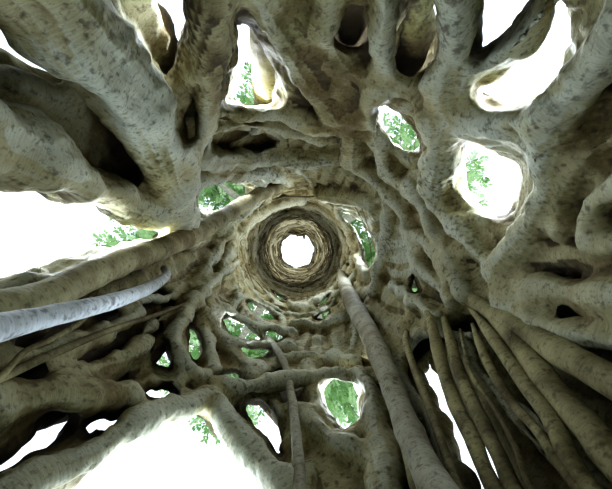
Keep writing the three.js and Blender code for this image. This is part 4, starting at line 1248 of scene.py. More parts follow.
@dataclass
class LatticeTrunk:
    """The hollow trunk: root columns fused side by side, with gaps where they part.

    Attributes:
        hollow: The hollow that it stands round.
        bulge_in, bulge_out: How far a column stands proud of its seams, inside and outside.
        bulge_foot: Extra thickness outwards at the ground.
        narrow: A column narrower than this is thinner as well.
        collar, collar_z: Extra thickness under the boughs, and the height over which it dies away.
        rib, rib_height: The usual width of a fused root within a column, and how far it stands proud.
        ring, ring_from: How far the old rings of the upper tube stand proud, and the height they start at.
        ring_gap, ripple_gap: Metres from ring to ring, and from one finer ring to the next.
        rim, lip: The radius of a gap's edge, and how far the wood swells round it.
        bumps: Heights of the coarse and fine relief.
        outer_roots, inner_roots, tube_rings: How many roots run down outside, up inside and round the tube.
        owners: The pieces that the surface is parted into.
    """

    hollow: Hollow
    bulge_in: float = 0.012
    bulge_out: float = 0.13
    bulge_foot: float = 0.19
    narrow: float = 0.42
    collar: float = 0.13
    collar_z: float = 0.8
    rib: float = 0.2
    rib_height: float = 0.024
    ring: float = 0.05
    ring_from: float = 5.4
    ring_gap: float = 0.62
    ripple_gap: float = 0.17
    rim: float = 0.085
    lip: float = 0.012
    bumps: tuple[float, float] = (0.016, 0.005)
    outer_roots: int = 13
    inner_roots: int = 44
    tube_rings: int = 46
    owners: list[str] = field(default_factory=list)

    def seam_bearings(self, z: Array) -> Array:
        """Where the seams run.

        Args:
            z: Some heights.

        Returns:
            Each seam's bearing at each height, with the first seam again a full turn on.
        """
        gaps = {gap.name: gap for gap in (*WINDOWS, *ARCHES, *POCKETS)}
        lines = []
        for k, seam in enumerate(SEAMS):
            stops = [(0.0, seam.foot), *((gaps[name].z, gaps[name].bearing) for name in seam.through)]
            stops.append((self.hollow.top_z, TOP_SEAM + 360 / len(SEAMS) * k))
            heights, bearings = np.array(stops).T
            i = np.clip(np.searchsorted(heights, z) - 1, 0, len(stops) - 2)
            share = np.clip((z - heights[i]) / (heights[i + 1] - heights[i]), 0, 1)
            lines.append(bearings[i] + (bearings[i + 1] - bearings[i]) * share * share * (3 - 2 * share))
        lines.append(lines[0] + 360)
        return np.stack(lines, axis=-1)

    def columns_at(self, bearing: Array, z: Array) -> tuple[Array, Array, Array]:
        """Which column stands where.

        Args:
            bearing, z: Some places.

        Returns:
            The column's number, the share of the way across it, and its width in radians.
        """
        seams = self.seam_bearings(z)
        turn = (bearing - seams[..., 0]) % 360 + seams[..., 0]
        index = (turn[..., None] >= seams[..., 1:-1]).sum(axis=-1)
        low = np.take_along_axis(seams, index[..., None], -1)[..., 0]
        high = np.take_along_axis(seams, index[..., None] + 1, -1)[..., 0]
        return index, (turn - low) / (high - low), np.radians(high - low)

    def fill_wall(self, grid: LatticeGrid) -> None:
        """Puts the fused columns in the field, ribbed by their roots and ringed in the upper tube.

        Args:
            grid: The field.
        """
        bearing, z = np.meshgrid(grid.bearings, np.maximum(grid.heights, 0.0), indexing="ij")
        index, share, width = self.columns_at(bearing, z)
        wall = self.hollow.wall_radius(z)
        spot = self.hollow.place(bearing, z, wall)
        slim = np.minimum(1, width * wall / self.narrow)
        belly = np.sin(np.pi * share) ** 0.6
        counts = np.bincount(index.ravel(), (width * wall).ravel()) / np.bincount(index.ravel())
        roots = np.maximum(1, np.round(counts / self.rib))[index]
        sway = WaveNoise(Seed.RIB_SWAY, 1.3).at(spot)
        wave = np.abs(np.sin(np.pi * roots * (share + 0.3 * sway * belly / roots)))
        ribs = (wave ** 0.7 - 0.6) * self.rib_height
        fade = np.clip((z - self.ring_from) / 1.4, 0, 1)
        phase = z / self.ring_gap + 0.5 * WaveNoise(Seed.RING_SWAY, 1.0).at(spot)
        rings = self.ring * fade * (0.5 + 0.5 * np.sin(2 * np.pi * phase)) ** 1.5
        rings += 0.3 * self.ring * fade * np.sin(2 * np.pi * (z / self.ripple_gap + 0.6 * sway))
        seam = self.hollow.seam_half(z)
        collar = self.collar * np.exp((z - self.hollow.top_z) / self.collar_z)
        foot = self.bulge_foot * np.exp(-z / self.hollow.foot_z)
        inside = seam + slim * self.bulge_in * belly + ribs * (1 - 0.6 * fade) + rings
        outside = seam + slim * (self.bulge_out + foot) * belly + 1.3 * ribs + collar
        offset = grid.offsets[None, None]
        grid.value[:] = np.maximum(-offset - inside[..., None], offset - outside[..., None])
        grid.owner[:] = index[..., None]

    def carve(self, grid: LatticeGrid, gap: Gap, arch: bool = False) -> None:
        """Cuts one gap, with a swollen and rounded edge.

        Args:
            grid: The field.
            gap: The gap.
            arch: True where it goes straight through and down to the ground. A window instead follows the
                lines of sight from the eye.
        """
        margin = 0.25
        margin_turn = 16
        low = -1.0 if arch else gap.z - gap.tall - margin
        high = gap.z + gap.tall + margin
        columns, rows, turn = grid.block(gap.bearing, gap.half + margin_turn, low, high, seen=not arch)
        if arch:
            height = grid.heights[rows][None, :, None] + 0 * grid.offsets
            rise = np.maximum(height - gap.z, 0)
        else:
            height = grid.sight[rows][None]
            rise = height - gap.z
        if gap.outline:
            away = gap.outline_distance(turn, rise[0], float(self.hollow.wall_radius(gap.z)))
        else:
            wall = self.hollow.wall_radius(np.maximum(height, 0))
            away = gap.oval_distance(turn[:, None, None], rise, wall)
        bearing = grid.bearings[columns][:, None, None]
        spot = self.hollow.place(bearing, grid.heights[rows][:, None], grid.rho[rows])
        ragged = 0.003 if gap.outline else min(0.035, 0.25 * min(math.radians(gap.half) * 1.1, gap.tall))
        away = away + ragged * WaveNoise(int(gap.bearing), 0.12 if gap.outline else 0.5, 14).at(spot)
        if gap.depth is not None:
            away = np.maximum(away, grid.offsets - gap.depth)
        place = np.ix_(columns, rows)
        solid = grid.value[place] - self.lip * np.exp(-(((away - self.rim) / 0.05) ** 2))
        k = min(self.rim, 0.6 * gap.tall)
        edge = np.hypot(np.maximum(k + solid, 0), np.maximum(k - away, 0))
        grid.value[place] = np.minimum(-k, np.maximum(solid, -away)) + edge

    def outside_roots(self) -> Iterator[Strand]:
        """Roots that run down the outside and flare towards the ground."""
        random = np.random.default_rng(Seed.OUTSIDE_ROOTS)
        for i in range(self.outer_roots):
            bearing = (i + 0.25 + 0.5 * random.random()) * 360 / self.outer_roots
            if any(abs(bearing - middle) < half for middle, half in BARE_OUTSIDE):
                continue
            top = random.uniform(3.5, 11.0)
            drift = random.uniform(-16, 16)
            girth = random.uniform(0.06, 0.1)
            heights = np.linspace(top, -0.1, 6)
            shares = 1 - np.maximum(heights, 0) / top
            proud = self.hollow.seam_half(heights) + 0.1 + 0.17 * np.exp(-np.maximum(heights, 0) / 1.1)
            sway = bearing + drift * (1 - shares) + 4 * np.sin(shares * 7 + i)
            radii = (girth * 0.5, girth, girth * 1.1, girth * 1.6)
            yield Strand(path_of(sway, heights, -proud), radii, blend=0.08)

    def inside_roots(self) -> Iterator[Strand]:
        """Small roots that run up the inside, between the great ones."""
        random = np.random.default_rng(Seed.INSIDE_ROOTS)
        for i in range(self.inner_roots):
            foot = random.uniform(-0.1, 3.0)
            top = foot + random.uniform(1.2, 4.0)
            bearing = (i + random.random()) * 360 / self.inner_roots
            heights = np.linspace(foot, top, 6)
            sway = bearing + np.cumsum(random.normal(0, 5, 6))
            girth = random.uniform(0.02, 0.04)
            inside = self.hollow.seam_half(heights) + random.uniform(-0.01, 0.02)
            radii = (girth * 0.7, girth, girth, girth * 0.6)
            yield Strand(path_of(sway, heights, inside), radii, blend=0.02)

    def ring_roots(self) -> Iterator[Strand]:
        """Roots that once gripped the host's trunk, and run round the inside of the upper tube."""
        random = np.random.default_rng(Seed.RING_ROOTS)
        for i in range(self.tube_rings):
            tall = self.hollow.top_z - self.ring_from
            z = self.ring_from + 0.4 + tall * (i + random.random()) / self.tube_rings
            start = random.uniform(0, 360)
            sweep = random.uniform(70, 220)
            shares = np.linspace(0, 1, 9)
            heights = z + random.uniform(-0.9, 0.9) * (shares - 0.5) + 0.09 * np.sin(shares * 8 + start)
            girth = 0.018 + 0.05 * random.random() ** 1.5
            inside = self.hollow.seam + 0.03 + 0.03 * np.sin(np.pi * shares)
            inside[[0, -1]] = 0.0
            path = path_of(start + sweep * shares, heights, inside)
            yield Strand(path, (girth * 0.6, girth, girth, girth * 0.5), blend=0.03)

    def make_field(self) -> LatticeGrid:
        """Lays the whole trunk out in a field of distances."""
        grid = LatticeGrid(self.hollow)
        self.owners = [f"root_column_{k + 1:02d}" for k in range(len(SEAMS))]
        self.fill_wall(grid)
        for gap in POCKETS:
            self.carve(grid, gap, arch=gap.name == "fork_recess")
        for strand in (*self.inside_roots(), *self.ring_roots(), *NET, *self.outside_roots()):
            grid.fuse(strand)
        for gap in ARCHES:
            self.carve(grid, gap, arch=True)
        for gap in WINDOWS:
            self.carve(grid, gap)
        for name, strands in GREAT_ROOTS.items():
            self.owners.append(name)
            for strand in strands:
                grid.fuse(strand, len(self.owners) - 1)
        for bough in range(BOUGHS):
            bearing = bough_bearing(bough)
            out = 0.07
            path = ((bearing, 11.2, -out + 0.06), (bearing, 12.0, -out), (bearing, 12.6, -out))
            grid.fuse(Strand(path, (0.08, 0.23, 0.17), blend=0.14))
        for gap in SLOTS:
            self.carve(grid, gap)
        for strand in BACKS:
            grid.fuse(strand)
        top = grid.heights[None, :, None] - self.hollow.top_z - 0.1
        grid.value = smooth_most(grid.value, top.astype(np.float32), 0.12)
        ground = -grid.heights[None, :, None]
        grid.value = np.maximum(grid.value, ground.astype(np.float32))
        return grid

    def build(self) -> None:
        """Makes a mesh for each column and for each great root that is fused to them."""
        grid = self.make_field()
        shape, owner = grid.surface()
        shape, owner = keep_largest(shape, owner)
        normals = shape.normals()
        coarse, fine = self.bumps
        relief = coarse * WaveNoise(Seed.COARSE_BUMPS, 0.24).at(shape.points)
        relief += fine * WaveNoise(Seed.FINE_BUMPS, 0.075).at(shape.points)
        shape.points += normals * relief[:, None]
        shape.points[:, 2] = np.maximum(shape.points[:, 2], 0)
        normals = shape.normals()
        bark = OLD_BARK.material()
        face_owner = owner[shape.faces[:, 0]]
        for number, name in enumerate(self.owners):
            part, kept = shape.part(face_owner == number)
            dress(part.to_object(f"{name}_bark", [bark], normals[kept]), Slot.BARK, [name])


def smooth_most(first: Array, second: Array, blend: float) -> Array:
    """The greater of two fields, with the crease where they meet rounded."""
    mix = np.clip(0.5 + 0.5 * (first - second) / blend, 0, 1)
    return second + (first - second) * mix + blend * mix * (1 - mix)


def keep_largest(shape: Shape, owner: Array) -> tuple[Shape, Array]:
    """Drops every scrap that isn't joined to the largest piece of a surface.

    Args:
        shape: The surface.
        owner: A number for each of its points.

    Returns:
        The largest piece, and its points' numbers.
    """
    label = np.arange(len(shape.points))
    edges = np.concatenate([shape.faces[:, [0, 1]], shape.faces[:, [1, 2]]])
    while True:
        low = np.minimum(label[edges[:, 0]], label[edges[:, 1]])
        fresh = label.copy()
        np.minimum.at(fresh, edges[:, 0], low)
        np.minimum.at(fresh, edges[:, 1], low)
        np.minimum.at(fresh, label[edges[:, 0]], low)
        np.minimum.at(fresh, label[edges[:, 1]], low)
        fresh = fresh[fresh]
        if (fresh == label).all():
            break
        label = fresh
    names, sizes = np.unique(label, return_counts=True)
    LOG.info("lattice: %d points, %d scraps left out", sizes.max(), len(names) - 1)
    kept_shape, kept = shape.part(label[shape.faces[:, 0]] == names[sizes.argmax()])
    return kept_shape, owner[kept]


class SeededNumbers:
    """The same run of numbers as in the part's source."""

    def __init__(self, seed: int) -> None:
        """Args:
        seed: Picks the run.
        """
        self.state = seed

    def next(self) -> float:
        """The next number, from 0 to 1."""
        self.state = (self.state * 1664525 + 1013904223) % 2**32
        return self.state / 2**32

    def jitter(self, size: float) -> float:
        """A number from -size to size."""
        return (self.next() - 0.5) * 2 * size


# Roots that stand free of the wall, by the node that each stands for

LOOSE_ROOTS = {
    "diagonal_root": (OLD_BARK, root_of((70, 75, 80, 80, 75, 68, 62, 58, 60, 80, 120), (97, 6.0, 0.04),
        (108, 5.75, 0.13), (121.5, 5.42, 0.19), (143.5, 4.98, 0.23), (169, 4.01, 0.25), (178.5, 3.31, 0.25),
        (184.5, 2.72, 0.26), (187.5, 2.44, 0.27), (191, 2.2, 0.28), (195, 1.2, 0.35), (198, -0.1, 0.42))),
    "pale_pole": (PALE_ROOT, root_of((20, 24, 28, 30, 32, 38, 55), (188, 3.35, 0.22), (190.5, 3.15, 0.31),
        (194, 2.8, 0.37), (195.5, 2.37, 0.41), (195, 2.0, 0.43), (193, 1.2, 0.5), (192, -0.1, 0.62))),
    "hanging_root": (HUNG_ROOT, root_of((50, 80, 90, 70, 60, 56, 58, 70, 100), (336, 7.35, 0.09),
        (324, 6.0, 0.17), (317, 5.06, 0.19), (309.5, 3.6, 0.205), (305, 2.97, 0.21), (302, 2.57, 0.23),
        (300.5, 2.24, 0.26), (300, 1.5, 0.32), (300, -0.1, 0.44))),
    "leaning_stick": (HUNG_ROOT, root_of((22, 26, 27, 25, 25, 26, 30, 40), (251, 4.65, 0.12),
        (255, 4.4, 0.155), (263.5, 3.87, 0.175), (267.5, 3.29, 0.195), (269.5, 2.83, 0.22),
        (270.5, 2.4, 0.26), (272, 1.2, 0.39), (274, -0.1, 0.58))),
    "leaning_rod_1": (ROD_BARK, root_of((20, 28, 33, 30, 28, 28, 40, 55), (337, 3.7, 0.06),
        (332, 3.22, 0.17), (323, 2.89, 0.18), (315.5, 2.52, 0.19), (313, 2.31, 0.2), (309.5, 2.09, 0.2),
        (306, 1.2, 0.22), (303, -0.1, 0.25))),
    "leaning_rod_2": (ROD_BARK, root_of((16, 24, 28, 26, 26, 26, 38, 55), (337, 3.4, 0.06),
        (330.5, 2.97, 0.16), (323, 2.67, 0.18), (317, 2.34, 0.19), (314, 2.15, 0.2), (312, 2.04, 0.2),
        (310, 1.2, 0.22), (309, -0.1, 0.25))),
    "leaning_rod_3": (ROD_BARK, root_of((16, 25, 27, 26, 26, 26, 38, 55), (342, 3.1, 0.06),
        (336, 2.63, 0.16), (332.5, 2.44, 0.18), (329, 2.26, 0.19), (326, 2.1, 0.2), (321, 1.91, 0.2),
        (318, 1.2, 0.22), (316, -0.1, 0.25))),
    "leaning_rod_4": (ROD_BARK, root_of((30, 42, 42, 42, 42, 45, 55, 65), (347, 3.2, 0.04),
        (339, 2.58, 0.13), (334.5, 2.37, 0.15), (330.5, 2.15, 0.17), (328.5, 2.0, 0.18), (326.5, 1.9, 0.18),
        (324, 1.1, 0.2), (322, -0.1, 0.25))),
    "leaning_rod_5": (ROD_BARK, root_of((30, 40, 45, 50, 55, 65), (348, 3.6, 0.04), (344, 3.0, 0.1),
        (340.5, 2.5, 0.13), (337, 2.0, 0.15), (334, 1.2, 0.18), (330, -0.1, 0.25))),
}

# Thin roots that cross the others or stand between them, and stand for no node of the part
THIN_ROOTS = {
    "thin_root_left": (ROD_BARK, root_of((9, 11, 13, 14), (176, 3.6, 0.24), (181, 3.15, 0.27),
        (185.5, 2.75, 0.29), (189, 2.45, 0.3), (192, 2.2, 0.3), (192, 1.2, 0.33), (190, -0.1, 0.4))),
    "thin_root_wavy": (ROD_BARK, root_of((9, 10, 12), (193, 2.75, 0.1), (196.5, 2.51, 0.22),
        (198.5, 2.4, 0.24), (200, 2.23, 0.24), (200.5, 2.11, 0.24), (203, 2.01, 0.24), (207, 1.6, 0.22),
        (208, 0.8, 0.2), (208, -0.1, 0.3))),
    "thin_root_low": (ROD_BARK, root_of((10, 14, 20), (206, 3.9, 0.16), (205, 3.2, 0.2), (203, 2.5, 0.2),
        (204, 1.4, 0.22), (203, -0.1, 0.34))),
    "thin_rod_1": (ROD_BARK, root_of((12, 20, 20, 18, 18, 18, 22, 30), (324, 3.75, 0.06), (320, 3.36, 0.17),
        (314, 2.97, 0.18), (310, 2.64, 0.19), (306, 2.33, 0.2), (304, 2.17, 0.2), (302, 1.2, 0.24),
        (299, -0.1, 0.3))),
    "thin_rod_2": (ROD_BARK, root_of((8, 9, 10, 14), (334, 3.1, 0.06), (330, 2.76, 0.18), (324.5, 2.56, 0.2),
        (321, 2.3, 0.21), (318, 2.13, 0.22), (314.5, 1.99, 0.22), (312, 1.2, 0.24), (310, -0.1, 0.28))),
    "thin_rod_3": (ROD_BARK, root_of((10, 17, 18, 17, 16, 16, 20, 30), (337, 3.0, 0.06), (332.5, 2.67, 0.17),
        (328, 2.47, 0.19), (324.5, 2.27, 0.2), (323, 2.11, 0.21), (320, 1.93, 0.21), (317, 1.2, 0.24),
        (314, -0.1, 0.28))),
    "thin_rod_4": (ROD_BARK, root_of((10, 30, 36, 30, 30, 40), (305, 3.3, 0.06), (301.5, 2.86, 0.15),
        (299, 2.47, 0.17), (297, 2.26, 0.18), (295, 1.2, 0.22), (294, -0.1, 0.28))),
}


@dataclass
class LooseRoots:
    """Roots that hang, lean or wind free of the wall, with the row of thin rods."""

    hollow: Hollow
    style: TubeStyle = TubeStyle(20, 0.03, lump=0.05, lump_length=0.3, rings=0.01)

    def winding(self) -> Strand:
        """The root that winds over the outside."""
        path = []
        stops = 6
        for i in range(stops + 1):
            share = 1 - i / stops
            z = 9.4 * share
            bearing = 70 + 78 * share + 5 * math.sin(share * math.pi * 3)
            sunk = 0.119 if i == 0 else 0.0
            proud = float(self.hollow.seam_half(z)) + 0.1235 + 0.19 * math.exp(-z / self.hollow.foot_z)
            path.append((bearing, z if i < stops else -0.1, sunk - proud))
        return Strand(tuple(path), tuple(np.linspace(0.07, 0.165, stops + 1).tolist()))

    def build(self) -> None:
        """Makes every loose root."""
        finishes = {finish: finish.material() for finish in (OLD_BARK, PALE_ROOT, HUNG_ROOT, ROD_BARK)}
        roots = {**LOOSE_ROOTS, "winding_root": (OLD_BARK, self.winding()), **THIN_ROOTS}
        for node, (finish, strand) in roots.items():
            name = node if node in THIN_ROOTS else f"{node}_bark"
            seed = len(name) * 7 + ord(name[-1])
            shape = self.style.shape(strand.curve(self.hollow), strand.radii, seed)
            shape.points[:, 2] = np.maximum(shape.points[:, 2], 0)
            slot = Slot.PALE_BARK if finish in (PALE_ROOT, HUNG_ROOT) else Slot.BARK
            dress(shape.to_object(name, [finishes[finish]]), slot, [] if node in THIN_ROOTS else [node])


@dataclass
class UpperFibres:
    """Thin old roots that run round the inside of the upper tube, where the host tree rotted away."""

    hollow: Hollow
    count: int = 230
    low: float = 5.0
    high: float = 12.3
    style: TubeStyle = TubeStyle(6, 0.07, lump=0.0)

    def strand(self, random: Random) -> Strand:
        """One fibre, nearly level, that weaves in and out of the wall.

        Args:
            random: The source of chance.

        Returns:
            The fibre.
        """
        z = self.low + (self.high - self.low) * random.random() ** 0.9
        start = random.uniform(0, 360)
        sweep = random.uniform(50, 170)
        slope = random.uniform(-1.1, 1.1) * random.random()
        knots = 7
        shares = np.linspace(0, 1, knots)
        inside = 0.125 + 0.035 * np.sin(shares * random.uniform(4, 9) + random.uniform(0, 6))
        inside[[0, -1]] = 0.04
        heights = z + slope * (shares - 0.5) * sweep / 90 + 0.05 * np.sin(shares * 9 + start)
        thick = 0.005 + 0.014 * random.random() ** 2
        return Strand(path_of(start + sweep * shares, heights, inside), (thick * 0.6, thick, thick * 0.5))

    def clear(self, strand: Strand) -> bool:
        """Whether a fibre crosses none of the wall's gaps.

        Args:
            strand: The fibre.

        Returns:
            True where it doesn't.
        """
        for bearing, z, _ in strand.path:
            for gap in WINDOWS:
                if abs(turned(bearing, gap.bearing)) < gap.half + 5 and abs(z - gap.z) < gap.tall + 0.1:
                    return False
        return True

    def ragged(self) -> list[Strand]:
        """Old roots that cross the open top on one side."""
        return [
            root_of((30, 26, 30), (128, 11.4, 0.08), (108, 11.45, 0.23), (85, 11.5, 0.25), (60, 11.4, 0.1)),
            root_of((20, 35, 20), (118, 11.9, 0.08), (100, 11.7, 0.21), (80, 11.8, 0.25), (52, 11.9, 0.08)),
            root_of((20, 30, 35, 10), (75, 12.1, 0.05), (66, 11.9, 0.2), (60, 11.8, 0.27), (57, 11.9, 0.3)),
            root_of((20, 20, 6), (96, 12.1, 0.05), (90, 11.9, 0.24), (88, 11.8, 0.31)),
            root_of((20, 25, 20), (225, 11.2, 0.06), (250, 11.1, 0.17), (280, 11.1, 0.19),
                (310, 11.2, 0.06)),
        ]

    def build(self) -> None:
        """Makes all the fibres as one piece."""
        random = np.random.default_rng(Seed.FIBRES)
        shapes = [self.style.shape(strand.curve(self.hollow), strand.radii) for strand in self.ragged()]
        while len(shapes) < self.count:
            strand = self.strand(random)
            if self.clear(strand):
                shapes.append(self.style.shape(strand.curve(self.hollow), strand.radii, len(shapes)))
        dress(Shape.joined(shapes).to_object("upper_fibres", [FIBRE.material()]), Slot.BARK)


# The crown


@dataclass
class Limb:
    """A bough, or a limb that forks from one, with the bearing of its tip and how far out that is."""

    name: str
    curve: SmoothCurve
    radii: list[float]
    bearing: float
    rho: float


@dataclass
class LeafMass:
    """The space that one mass of leaves keeps to, by half its depth, width and height along its axes."""

    name: str
    limb: Limb
    centre: Array
    half: Array
    axes: Array

    def outness(self, points: Array) -> Array:
        """How far out some points are: 0 at the centre and 1 on the surface."""
        return np.linalg.norm(((points - self.centre) @ self.axes.T) / self.half, axis=-1)


@dataclass(frozen=True)
class MassSize:
    """The size of a mass of leaves, and where its middle is from its limb's tip."""

    across: float
    deep: float
    tall: float
    above: float
    beyond: float


@dataclass
class CrownPlan:
    """Where the boughs, the limbs that fork from them and the masses of leaves at their tips are."""

    hollow: Hollow
    limbs: int = 5
    outer: MassSize = MassSize(2.95, 2.75, 2.15, 0.75, 0.9)
    upper: MassSize = MassSize(2.7, 2.5, 2.1, 0.8, 0.05)

    def bough(self, number: int, random: SeededNumbers) -> Limb:
        """One bough, which rises from the rim and spreads.

        Args:
            number: Which one, from 0.
            random: The source of chance.

        Returns:
            The bough.
        """
        bearing = bough_bearing(number)
        swing = random.jitter(6)
        rise = 4.55 + random.jitter(0.4)
        reach = 4.05 + random.jitter(0.3)
        top = self.hollow.top_z
        rho = float(self.hollow.wall_radius(top)) + 0.07
        knots = [
            self.hollow.place(bearing, top - 0.1, rho),
            self.hollow.place(bearing, top + rise * 0.1, rho + reach * 0.01),
            self.hollow.place(bearing + swing * 0.4, top + rise * 0.33, rho + reach * 0.27),
            self.hollow.place(bearing + swing, top + rise * 0.66, rho + reach * 0.66),
            self.hollow.place(bearing + swing, top + rise * 0.9, rho + reach),
        ]
        radii = [0.195 * share for share in (1, 0.92, 0.74, 0.56, 0.42)]
        return Limb(f"bough_{number + 1}", SmoothCurve(np.array(knots)), radii, bearing + swing, rho + reach)

    def limb(self, number: int, boughs: Sequence[Limb], random: SeededNumbers) -> Limb:
        """One limb, which forks from a bough and rises more steeply.

        Args:
            number: Which one, from 0.
            boughs: The boughs.
            random: The source of chance.

        Returns:
            The limb.
        """
        bearing = TOP_SEAM + 360 / self.limbs * (number + 0.5)
        nearest = (bearing - 24 - bough_bearing(0)) / (360 / BOUGHS)
        parent = boughs[math.floor(nearest + 0.5) % BOUGHS]
        start = parent.curve.at(0.3 + 0.04 * (number % 2))
        tip = self.hollow.place(bearing, start[2] + 4.3 + random.jitter(0.35), 2.9)
        knee = start + (tip - start) * 0.35 - np.array([0, 0, 0.18])
        knots = np.array([start, knee, start + (tip - start) * 0.7, tip])
        radii = [0.12 * share for share in (1, 0.9, 0.75, 0.55)]
        return Limb(f"limb_{number + 1}", SmoothCurve(knots), radii, bearing, 2.9)

    def mass(self, name: str, limb: Limb, size: MassSize, random: SeededNumbers) -> LeafMass:
        """The mass of leaves at a limb's tip.

        Args:
            name: What it is called.
            limb: The limb.
            size: How large it is, and where its middle is.
            random: The source of chance.

        Returns:
            The mass.
        """
        middle = self.hollow.place(limb.bearing, limb.curve.at(1.0)[2] + size.above, limb.rho + size.beyond)
        out = self.hollow.outward(limb.bearing)
        axes = np.array([out, [-out[1], out[0], 0], [0, 0, 1]])
        half = np.array([size.deep, size.across, size.tall + random.jitter(0.12)])
        return LeafMass(name, limb, middle, half, axes)

    def lay_out(self) -> tuple[list[Limb], list[LeafMass]]:
        """Works out every limb and every mass."""
        random = SeededNumbers(Seed.CROWN)
        boughs = [self.bough(k, random) for k in range(BOUGHS)]
        limbs = [self.limb(k, boughs, random) for k in range(self.limbs)]
        masses = []
        for ring, size, tips in (("outer", self.outer, boughs), ("upper", self.upper, limbs)):
            for k, limb in enumerate(tips):
                masses.append(self.mass(f"leaf_mass_{ring}_{k + 1}", limb, size, random))
        return [*boughs, *limbs], masses


@dataclass(frozen=True)
class LeafShape:
    """A pointed oval leaf of eight faces, folded a little along its midrib.

    Attributes:
        outline: Shares along and across it, from its base to its tip.
        fold: How far its edges are raised, as a share of their distance from the midrib.
        droop: How far its tip hangs, as a share of its length.
    """

    outline: tuple[tuple[float, float], ...] = ((0, 0), (0.2, 0.16), (0.48, 0.25), (0.78, 0.15), (1, 0))
    fold: float = 0.35
    droop: float = 0.14

    def shape(self, base: Array, way: Array, flat: Array, length: Array, tone: Array) -> Shape:
        """Many leaves at once.

        Args:
            base: Where each one starts.
            way: The unit vector that it points along.
            flat: A vector that its upper side faces, roughly.
            length: Its length.
            tone: Which of the leaf colours it has.

        Returns:
            All the leaves as one shape.
        """
        left = [(x, -y) for x, y in self.outline[-2:0:-1]]
        rim = np.array([*self.outline, *left])
        template = np.vstack([[0.5, 0.0], rim])
        height = self.fold * np.abs(template[:, 1]) - self.droop * template[:, 0] ** 2
        across = unit(np.cross(flat, way))
        up = np.cross(way, across)
        points = way[:, None] * template[:, 0, None] + across[:, None] * template[:, 1, None]
        points = base[:, None] + (points + up[:, None] * height[:, None]) * length[:, None, None]
        around = np.arange(len(rim))
        fan = np.stack([0 * around, 1 + around, 1 + (around + 1) % len(rim)], axis=-1)
        faces = (np.arange(len(base))[:, None, None] * len(template) + fan).reshape(-1, 3)
        return Shape.of(points.reshape(-1, 3), faces, tone=np.repeat(tone, len(rim)))


@dataclass
class Boughs:
    """The boughs and limbs, in smooth bark."""

    limbs: list[Limb]
    style: TubeStyle = TubeStyle(20, 0.09, lump=0.05, lump_length=0.7, rings=0.008)

    def build(self) -> None:
        """Makes every bough and limb, each from inside what bears it."""
        bark = BOUGH_BARK.material()
        for number, limb in enumerate(self.limbs):
            start = limb.curve.at(0.0)
            buried = start - limb.curve.heading(0.0) * (0.45 if limb.name.startswith("bough") else 0.05)
            knots = np.vstack([buried, limb.curve.at(np.linspace(0, 1, 9))])
            radii = [limb.radii[0] * 1.02, *spread(limb.radii, limb.curve.knot_share(np.linspace(0, 1, 9)))]
            shape = self.style.shape(SmoothCurve(knots), radii, seed=Seed.BOUGHS + number)
            dress(shape.to_object(f"{limb.name}_bark", [bark]), Slot.BARK, [limb.name])


